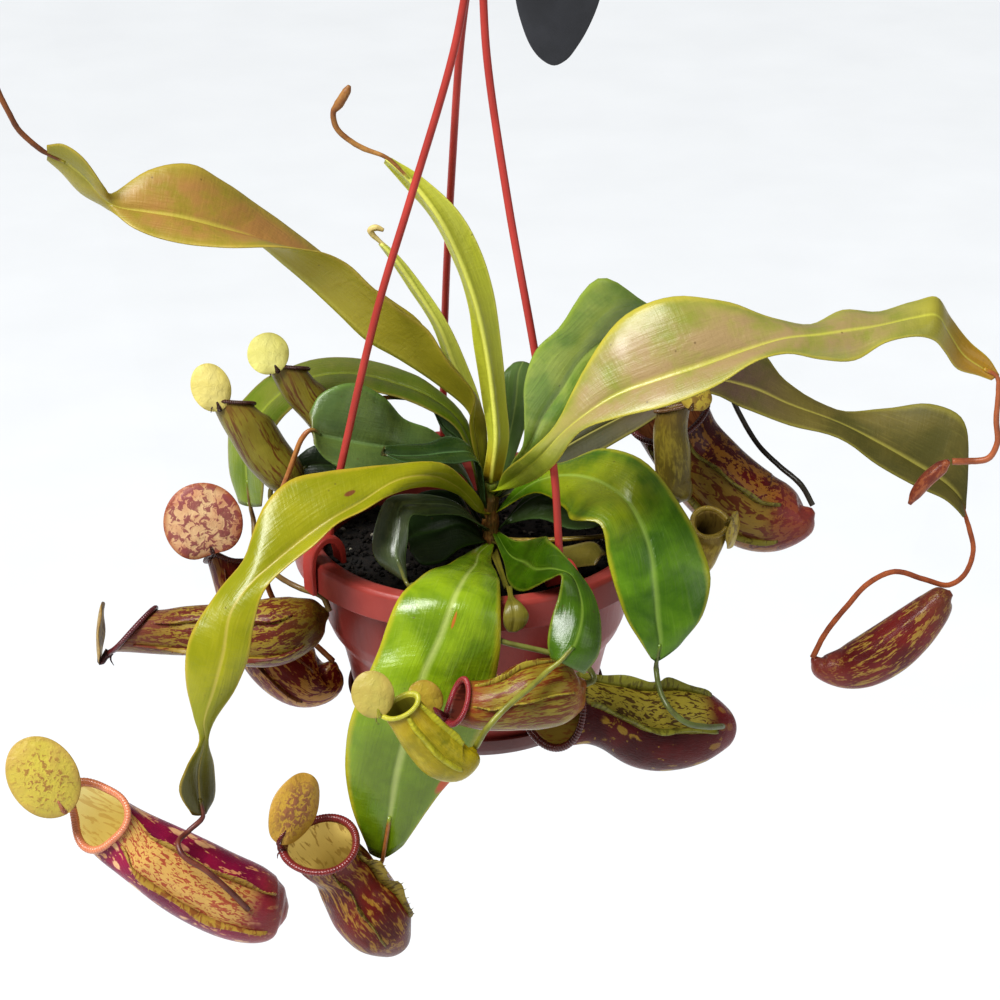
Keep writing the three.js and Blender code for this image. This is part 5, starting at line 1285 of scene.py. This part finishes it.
def pitcher(node, spine, front, skins, mouth=None, lid=None, wings=(0, 0), lip=1.6, stalk=None,
            peak=0.0, corners=0.03, fold=0.32):
    """A cup on a bent centre line; each station is [x, y, z, radius], from the tendril to the
    mouth. Without a mouth it is still closed. Its wings look to the `front`; `wings` are the two
    heights and `fold` is half their thickness. `lip` is the lip's thickness, `corners` draws the
    mouth to a triangle, and `peak` raises it at the neck. A lid's `tip` is the way it points, and
    its `hinge` is the side of the mouth that it stands at, where that isn't below its centre."""
    towards = unit(np.array(front, float))
    line, normal, radius = cup_stations(spine, mouth)
    sides = 64
    angle = full_turn(sides)
    around = (angle + math.pi) % (2 * math.pi) - math.pi
    seed = len(node) + spine[1][0]
    uneven = np.array([[0.035 * noise.noise(Vector((math.cos(a) * 1.3, math.sin(a) * 1.3, i * 0.09 + seed)))
                        for a in angle] for i in range(len(line))])
    away = np.linalg.norm(line - line[-1], axis=1) / max(spine[-1][3], 1)
    run = way(line)
    share = run / run[-1]
    finishes = list(skins.values())
    finish = {name: i for i, name in enumerate(skins)}

    def coordinates(share, radius, height):
        lie = np.stack(np.broadcast_arrays(around / math.pi, share[:, None], 0.0), axis=2)
        wrap = np.stack(np.broadcast_arrays(radius[:, None] * np.cos(angle), radius[:, None] * np.sin(angle),
                                            height[:, None] + spine[1][1] * 3), axis=2)
        return lie, wrap

    form = Form()
    tail = hoops(line[:1] - normal[:1] * 1.1, normal[:1], towards, radius[:1] * 0.5, angle)
    if mouth is None:
        outside = hoops(line, normal, towards, radius[:, None] * (1 + uneven), angle)
        form.loft(np.concatenate([tail, outside]),
                  *coordinates(np.append(0, share), np.append(1, radius), np.append(-1, run)))
        fitted(form.make(node, finishes), node)
        return
    end, up = line[-1], normal[-1]
    u = unit(towards - up * np.dot(towards, up))
    w = np.cross(up, u)
    hinge = np.array(lid.get("hinge", lid["centre"]) if lid else end + u, float) - end
    hinge = unit(hinge - up * np.dot(hinge, up))
    turn = math.atan2(np.dot(hinge, w), np.dot(hinge, u))
    neck_lean = up * 0.75 + hinge * 0.45

    def bent(angle):
        """How far the mouth is drawn out, and raised, at each angle round it."""
        near = (angle - turn + math.pi) % (2 * math.pi) - math.pi
        raised = peak * np.exp(-(near / 0.6) ** 2)
        return corners * np.cos(3 * near), raised[:, None] * neck_lean, raised

    drawn, bend, _ = bent(angle)
    follow = np.clip(1 - away / 1.5, 0, 1)[:, None] ** 1.5
    settle = np.clip(away, 0, 1)[:, None]
    shape = 1 + uneven * settle + drawn * follow
    bend = bend * (follow ** 1.4)[..., None]
    outside = hoops(line, normal, towards, radius[:, None] * shape, angle) + bend
    within = slice(None, int(len(line) * THROAT_FLOOR), -1)
    hollow = np.maximum(radius[:, None] * shape - WALL_OF_CUP, 0.6)[within]
    inner = hoops(line[within], normal[within], towards, hollow, angle) + bend[within]
    form.loft(np.concatenate([tail, outside, inner]),
              *coordinates(np.concatenate([[0], share, share[within]]),
                           np.concatenate([[1], radius, radius[within]]),
                           np.concatenate([[-1], run, run[within]])),
              finish=[finish["cup"]] * len(outside) + [finish["throat"]] * len(inner))
    ribbed = full_turn(sides * 4)
    drawn, bend, raised = bent(ribbed)
    teeth = 0.07 * np.sin(ribbed * RIBS)
    wide = lip * (1 + raised * 0.05)
    ray = np.cos(ribbed)[:, None] * u + np.sin(ribbed)[:, None] * w
    rolled = []
    for out, rise in ((-0.78, -0.5), (-0.8, 0.0), (-0.62, 0.45), (-0.25, 0.75), (0.2, 0.9), (0.65, 0.8),
                      (0.98, 0.5), (1.08, 0.1), (0.9, -0.25), (0.5, -0.35), (0.1, -0.2)):
        reach = radius[-1] * (1 + drawn) + wide * out + teeth * (1 if rise > 0 else 0.4)
        rolled.append(end + up * (lip * rise + teeth[:, None] * 0.5) + reach[:, None] * ray + bend)
    rolled = np.swapaxes(np.array(rolled), 0, 1)
    lip_lie = np.stack(np.broadcast_arrays(((ribbed + math.pi) % (2 * math.pi) / math.pi - 1)[:, None],
                                           np.linspace(0, 1, 11)[None], 0.0), axis=2)
    lip_wrap = np.stack(np.broadcast_arrays(ribbed[:, None] * radius[-1], np.linspace(0, 4, 11)[None], 0.0),
                        axis=2)
    form.loft(rolled, lip_lie, lip_wrap, finish["lip"], closed=True)
    for side, height in zip((-1, 1), wings):
        if height:
            wing(form, line, normal, radius, towards, side, height, fold, finish.get("wings", finish["cup"]))
    if stalk:
        rod(form, [[*p, 1] for p in stalk], sides=12, steps=6, knobs=0.1)
    if lid:
        root = end + hinge * (radius[-1] * (1 + corners) + 0.3 * lip) + up * 0.4 * lip
        root = root + neck_lean * peak
        joint, inner = domed_lid(form, finish["lid"], lid, lid.get("tip", np.array(lid["centre"]) - root))
        neck = [[*root, 1.9], [*(root * 0.5 + joint * 0.5), 1.35], [*joint, 1.15], [*inner, 0.5]]
        if np.linalg.norm(root - joint) < 3:
            neck = [[*root, 1.7], [*joint, 1.2], [*inner, 0.5]]
        rod(form, neck, sides=14, steps=4, finish=finish["lip"], knobs=0.12)
        spur = root - hinge * 0.2 - up * 0.8
        rod(form, [[*spur, 0.5], [*(spur + hinge * 2.2 - up * 1.6), 0.32],
                   [*(spur + hinge * 3.0 - up * 4.0), 0.12]], sides=6, steps=3, finish=finish["lip"])
    fitted(form.make(node, finishes), node)


# Pitcher 1: the largest, crimson with a coral lip, hanging from leaf 7 at the lower left
pitcher("pitcher_01",
  spine=[[-73.5, -72, -130.5, 5], [-75.5, -72, -130, 9.5], [-79.5, -72.5, -129, 12.8],
    [-86, -73.5, -126.5, 14.8], [-96, -75, -121, 15.7],
    [-108, -76, -113, 15.5], [-121, -77, -103, 14], [-132, -78, -94, 12.5], [-141, -79, -84, 11.5]],
  mouth=[-0.45, -0.75, 0.5],
  front=[0, -0.9, 0.43],
  wings=(4, 4),
  lid=dict(centre=[-160, -84, -64], normal=[0.2, -0.9, 0.3], tip=[-0.5, 0.2, 0.85],
    long=16.5, wide=12.8),
  skins=dict(
    cup=cup_skin("crimson cup", "#911d44", "#75173d", "#d49d6a", 0.59, ovals="#deb081", base="#8f4331",
                 panel=("#c8a25c", "#9c3630", 1.0), gloss=0.3),
    lip=lip_skin("coral lip", "#cf8660", "#b2604c"),
    # The throat gives off painted light, in place of the daylight through its thin wall.
    throat=throat_skin("pale throat", "#e6d890", "#c49c50", "#c8b464", 0.5, 0.27),
    lid=lid_skin("yellow lid", "#c1b24c", "#b89f4e", "#95653c", 0.57, 0.6, rim="#b3944e", middle=0.5),
    wings=wing_skin("tan wings", "#a88a40", "#7c3a2c"),
  ),
  peak=4.5,
  corners=0.09,
)

# Pitcher 2: maroon, with a pinched waist, hanging from leaf 8
pitcher("pitcher_02",
  spine=[[-30, -86, -136, 2.5], [-32, -90, -131, 8], [-36, -92, -124, 13], [-41, -93, -115, 14.2],
    [-46, -94, -106, 12.5], [-50, -95, -97, 11.5], [-54, -96, -92, 12], [-57, -97, -86, 13]],
  mouth=[-0.15, -0.3, 0.94],
  front=[0.6, -0.75, 0.2],
  wings=(3.0, 6.5),
  lid=dict(centre=[-67, -94, -72], normal=[0.5, -0.8, 0.3], tip=[5.8, 7.5, 10.2],
    hinge=[-70, -98, -86], long=14, wide=9.5),
  skins=dict(
    cup=cup_skin("maroon cup", "#681a0f", "#4e100a", "#9d762a", 0.54, 0.42, 0.14, 0.08, base="#5b2c12"),
    lip=lip_skin("maroon lip", "#7a2a28", "#461416"),
    # The throat gives off painted light, in place of the daylight through its thin wall.
    throat=throat_skin("olive throat", "#c8b26a", "#84642e", "#94803e", 0.7, 0.27),
    lid=lid_skin("speckled lid", "#ba9841", "#b18a3d", "#844e44", 0.5, 0.55, middle=0.8),
    wings=wing_skin("olive wings", "#7c6c2c", "#3a2414"),
  ),
  peak=1.5,
)

# Pitcher 3: reddish brown and upright, hanging from leaf 5, its round spotted lid seen from the front
pitcher("pitcher_03",
  spine=[[-56, -6, -59, 2.5], [-59, -6, -64, 9], [-67, -7, -64, 12], [-77, -8, -56, 12.5],
    [-85, -9, -45, 10.5], [-91, -10, -32, 8], [-94, -11, -20, 7], [-96, -12, -11, 7]],
  mouth=[0, 0.43, 0.9],
  front=[0.4, -0.9, 0],
  wings=(3, 3),
  lid=dict(centre=[-103, -20, 9.5], normal=[0.1, -0.95, 0.3], long=15.5, wide=15, notch=0.2),
  skins=dict(
    cup=cup_skin("tan mottled cup", "#7a2018", "#641812", "#b8883c", 0.505, 0.42, 0.2, 0.05,
                 neck="#4c1b12"),
    lip=lip_skin("dark lip", "#5a2a22", "#3a1714"),
    throat=throat_skin("brown throat", "#a4864a", "#663a2a", "#4c3a22"),
    lid=lid_skin("spotted lid", "#ceaf85", "#b88261", "#772b3f", 0.54, 0.36, rim="#97502d"),
    wings=wing_skin("brown wings", "#7a4a26", "#3c1a14"),
  ),
  peak=4,
)

# Pitcher 4: olive and maroon, lying level to the left on leaf 4's tendril, its lid seen edge on
pitcher("pitcher_04",
  spine=[[-57, -30, -24, 2.5], [-60, -30, -25, 7], [-67, -31, -28, 11], [-77, -32, -31, 13],
    [-90, -33, -31, 12], [-103, -34, -29, 10], [-114, -34, -29, 9.6], [-129, -34, -29, 11]],
  mouth=[-0.74, 0.29, 0.61],
  front=[0, -0.9, 0.2],
  wings=(3, 3),
  lid=dict(centre=[-142, -34, -30], normal=[-1, 0, 0.05], long=12, wide=9),
  skins=dict(
    cup=cup_skin("olive maroon cup", "#6a3020", "#5e221c", "#94802e", 0.5, 0.5, 0.28, 0.04,
                 base="#56400f", neck="#7a4838"),
    lip=lip_skin("purple lip", "#5c2428", "#36141a"),
    throat=throat_skin("dark throat", "#74462e", "#471f1c", "#381a16"),
    lid=lid_skin("tan lid", "#a68c46", "#94763a", "#684828"),
  ),
  peak=2,
)

# Pitcher 5: small and yellow green, in front of the pot on leaf 10's tendril
pitcher("pitcher_05",
  spine=[[-1, -118, -34, 1.8], [-2, -119, -35, 5], [-7, -121, -36, 8], [-12, -122, -33, 9],
    [-17, -123, -27, 8.6], [-21, -124, -21, 7.8], [-24, -124, -16, 7], [-26, -124, -13, 6.6]],
  mouth=[-0.45, -0.06, 0.9],
  front=[0.5, -0.7, 0.5],
  wings=(2, 2),
  lip=1.2,
  lid=dict(centre=[-36, -124, -8], normal=[0.1, -0.9, 0.4], long=8.5, wide=7.5),
  skins=dict(
    cup=cup_skin("yellow green cup", "#9d890e", "#7c7906", "#b5a428", 0.5, 0.12, 0.6, 0.25,
                 base="#a0900e", neck="#a08722", fleck=0.1),
    lip=lip_skin("lime lip", "#bcb83c", "#98962c"),
    throat=throat_skin("green throat", "#a8a23a", "#8e7c2e", "#74702a", 0.3),
    lid=lid_skin("pale lid", "#b1a557", "#a8944d", "#9a713f", 0.8),
    wings=wing_skin("lime wings", "#a8a428", "#948c20"),
  ),
  peak=2.5,
  fold=0.9,
)

# Pitcher 6: green with dark red veins, lying across the front of the pot on leaf 9's tendril
pitcher("pitcher_06",
  spine=[[39, -87, -24, 2.5], [36, -88, -25, 8.5], [29, -91, -25, 12.4], [19, -95, -25, 12.4],
    [10, -98, -26, 10], [2, -99, -26, 9], [-6, -99, -25, 8]],
  mouth=[-0.89, -0.2, 0.4],
  front=[0, -0.6, 0.8],
  wings=(3, 3),
  lip=1.4,
  lid=dict(centre=[-18, -101, -22], normal=[0.1, -0.95, 0.3], long=7, wide=6),
  skins=dict(
    cup=cup_skin("veined green cup", "#8e7e2a", "#796620", "#6a2611", 0.49, 0.6, 0.1, 0.08,
                 base="#985627", neck="#924929"),
    lip=lip_skin("crimson lip", "#963038", "#741c28"),
    throat=throat_skin("dark mouth", "#74382a", "#461c18", "#301410"),
    lid=lid_skin("olive lid", "#a89434", "#94782c", "#685424", 0.8),
    wings=wing_skin("olive wings of the veined cup", "#9a8c34", "#6c4a24"),
  ),
  peak=1,
)

# Pitcher 7: big and dark maroon, lying to the right of the pot's foot on leaf 11's tendril; no lid is seen
pitcher("pitcher_07",
  spine=[[97, -50, -63, 2.5], [94, -52, -62, 8], [86, -55, -60, 13.5], [75, -58, -58, 16.5],
    [64, -60, -56, 16.5], [51, -62, -51, 13.5], [41, -64, -48, 12.5], [29, -66, -46, 14]],
  mouth=[-0.6, -0.7, 0.3],
  front=[0, -0.6, 0.8],
  wings=(5, 5),
  skins=dict(
    # The crimson at the base of this cup is partly its own colour and partly a painted sheen.
    cup=cup_skin("dark maroon cup", "#560d0a", "#400707", "#947526", 0.62, 0.3, 0.6, 0.03,
                 ovals="#947526", panel=("#8e8230", "#34120c", 0.7), base="#70181b", gloss=0.3, coat=0.08),
    lip=lip_skin("black red lip", "#58201c", "#2c0b0c"),
    throat=throat_skin("streaked throat", "#8a7430", "#7a3422", "#3c2012"),
    wings=wing_skin("ledge wings", "#76742a", "#4c4418"),
  ),
  fold=0.7,
)

# Pitcher 8: not open yet, at the far right on leaf 14's long tendril
pitcher("pitcher_08",
  spine=[[135, 8, -65, 1.8], [138, 8, -68, 5], [146, 8, -69, 8], [154, 7, -66, 10], [164, 6, -59, 10.5],
    [173, 5, -50, 9.5], [180, 4, -41, 7.5], [184, 3, -35, 5], [187, 3, -33, 1.2]],
  front=[0, -1, 0],
  skins=dict(
    cup=cup_skin("closed cup", "#742622", "#5a191a", "#a4863c", 0.545, 0.6, 0.12, 0.06, base="#94493c",
                 neck="#7a4a34"),
  ),
)

# Pitcher 9: big and blotched, behind leaf 13 on leaf 12's tendril; its lid is hidden
pitcher("pitcher_09",
  spine=[[133, 25, -8, 2.5], [130, 25, -10, 8], [122, 27, -11, 13.5], [111, 29, -9, 16],
    [100, 31, -1, 16], [90, 33, 9, 15.5], [82, 35, 19, 15], [76, 36, 30, 15.5]],
  mouth=[-0.3, -0.3, 0.9],
  front=[-0.3, -0.9, 0.2],
  wings=(4, 4),
  skins=dict(
    cup=cup_skin("blotched cup", "#580f10", "#400c0d", "#8e6226", 0.5, 0.3, 0.42, 0.03,
                 panel=("#836a2a", "#561812", 0.42), base="#8c4038"),
    lip=lip_skin("wine lip", "#5a1e1c", "#3a1012"),
    throat=throat_skin("wine throat", "#845634", "#4a1c18", "#36140f"),
    wings=wing_skin("green brown wings", "#77702e", "#4a3a1a"),
  ),
  fold=0.6,
)

# Pitcher 10: small, upright and olive, on leaf 16's tendril
pitcher("pitcher_10",
  spine=[[78, 2, 8, 1.8], [79, 2, 11, 5], [77, 3, 16, 6.5], [76, 4, 27, 7], [75, 5, 37, 6.5],
    [76, 6, 45, 6.5]],
  mouth=[-0.2, 0.3, 0.93],
  front=[0, -1, 0],
  lip=1.2,
  lid=dict(centre=[84, 5, 51], normal=[0.3, -0.6, 0.7], long=7, wide=7),
  skins=dict(
    cup=cup_skin("brown olive cup", "#6c5e26", "#564a1c", "#84762e", 0.5, 0.4, 0.3, 0.15, neck="#6c5424"),
    lip=lip_skin("brown lip", "#6a4c28", "#4a301c"),
    throat=throat_skin("olive inside", "#857836", "#584826", "#46381c"),
    lid=lid_skin("olive brown lid", "#a8963c", "#947e34", "#6c5028"),
  ),
  peak=1,
)

# Pitcher 11: olive with dark streaks, at the left on leaf 19's tendril
pitcher("pitcher_11",
  spine=[[-67, 2, 12, 1.8], [-69, 2, 14, 5], [-73, 3, 19, 8], [-80, 5, 27, 9], [-86, 7, 37, 9],
    [-90, 8, 42, 8.5], [-93, 9, 46, 8]],
  mouth=[0, 0.43, 0.9],
  front=[0.5, -0.8, 0],
  lip=1.2,
  lid=dict(centre=[-100, 3, 55.5], normal=[0.2, -0.9, 0.3], long=9.5, wide=7.5),
  skins=dict(
    cup=cup_skin("streaked olive cup", "#827a2e", "#726624", "#5c2c18", 0.54, 0.6, 0.09, 0.08,
                 neck="#7c6430"),
    lip=lip_skin("dark brown lip", "#4e2c20", "#301814"),
    throat=throat_skin("streaked inside", "#908440", "#483820", "#584824"),
    lid=lid_skin("cream lid", "#dbce83", "#cfc06c", "#957750", 0.8),
  ),
  peak=1,
)

# Pitcher 12: like the last one but smaller, higher up on leaf 6's tendril
pitcher("pitcher_12",
  spine=[[-47, 8, 31, 1.8], [-50, 8, 33, 4.5], [-55, 9, 37, 6.5], [-61, 10, 45, 7.2], [-67, 11, 52, 7.4],
    [-71.5, 12, 59, 7.4]],
  mouth=[0, 0.43, 0.9],
  front=[0.5, -0.8, 0],
  lip=1.2,
  lid=dict(centre=[-78, 5, 68.5], normal=[0.2, -0.9, 0.3], long=8, wide=8),
  skins=dict(
    cup=cup_skin("small olive cup", "#82782c", "#706224", "#5c2e18", 0.54, 0.6, 0.09, 0.08, neck="#7c6a30"),
    lip=lip_skin("small dark lip", "#4e2c20", "#301814"),
    throat=throat_skin("small inside", "#887c3c", "#483820", "#584824"),
    lid=lid_skin("small cream lid", "#eae490", "#ddd67a", "#9e8255", 0.8),
  ),
  peak=1,
)

# Pitcher 13: a bud at the end of leaf 13's tendril
pitcher("pitcher_13",
  spine=[[176, -30, 38, 1.5], [174, -30, 36, 2.6], [169, -30, 31, 2.8], [165, -30, 25, 2.2],
    [163, -30, 21, 0.8]],
  front=[0, -1, 0],
  skins=dict(
    cup=cup_skin("bud", "#8a4630", "#6a3226", "#a05e3c", 0.5, 0.5, 0.4, 0.1),
  ),
)

# Pitcher 14: small and tan, on its own stalk from the stem, beyond the rim at the right
pitcher("pitcher_14",
  spine=[[76, -12, -16, 1.8], [79, -11, -16, 5], [84, -10, -12, 7.5], [87, -9, -7, 7.5],
    [90, -8, -2, 6.5], [90, -8, 3, 6.5]],
  mouth=[0, -0.5, 0.85],
  front=[-0.7, -0.7, 0],
  lip=1.2,
  lid=dict(centre=[99, -8, 0], normal=[0.9, -0.4, -0.1], long=9, wide=7),
  stalk=[[10, 0.3, -7.5], [20, -4, -6], [45, -12, -1], [62, -15, 2.4], [71, -14, 1.4],
    [73.5, -13, -8], [74, -12, -15], [76.5, -12, -16]],
  skins=dict(
    cup=cup_skin("tan cup", "#927a30", "#7a6426", "#a6913c", 0.5, 0.4, 0.3, 0.15, neck="#8c7434"),
    lip=lip_skin("tan lip", "#a08a38", "#7c6228"),
    throat=throat_skin("tan inside", "#8a7438", "#604824", "#46341a"),
    lid=lid_skin("gold lid", "#ac982c", "#9c862c", "#705a24"),
  ),
  peak=1,
)
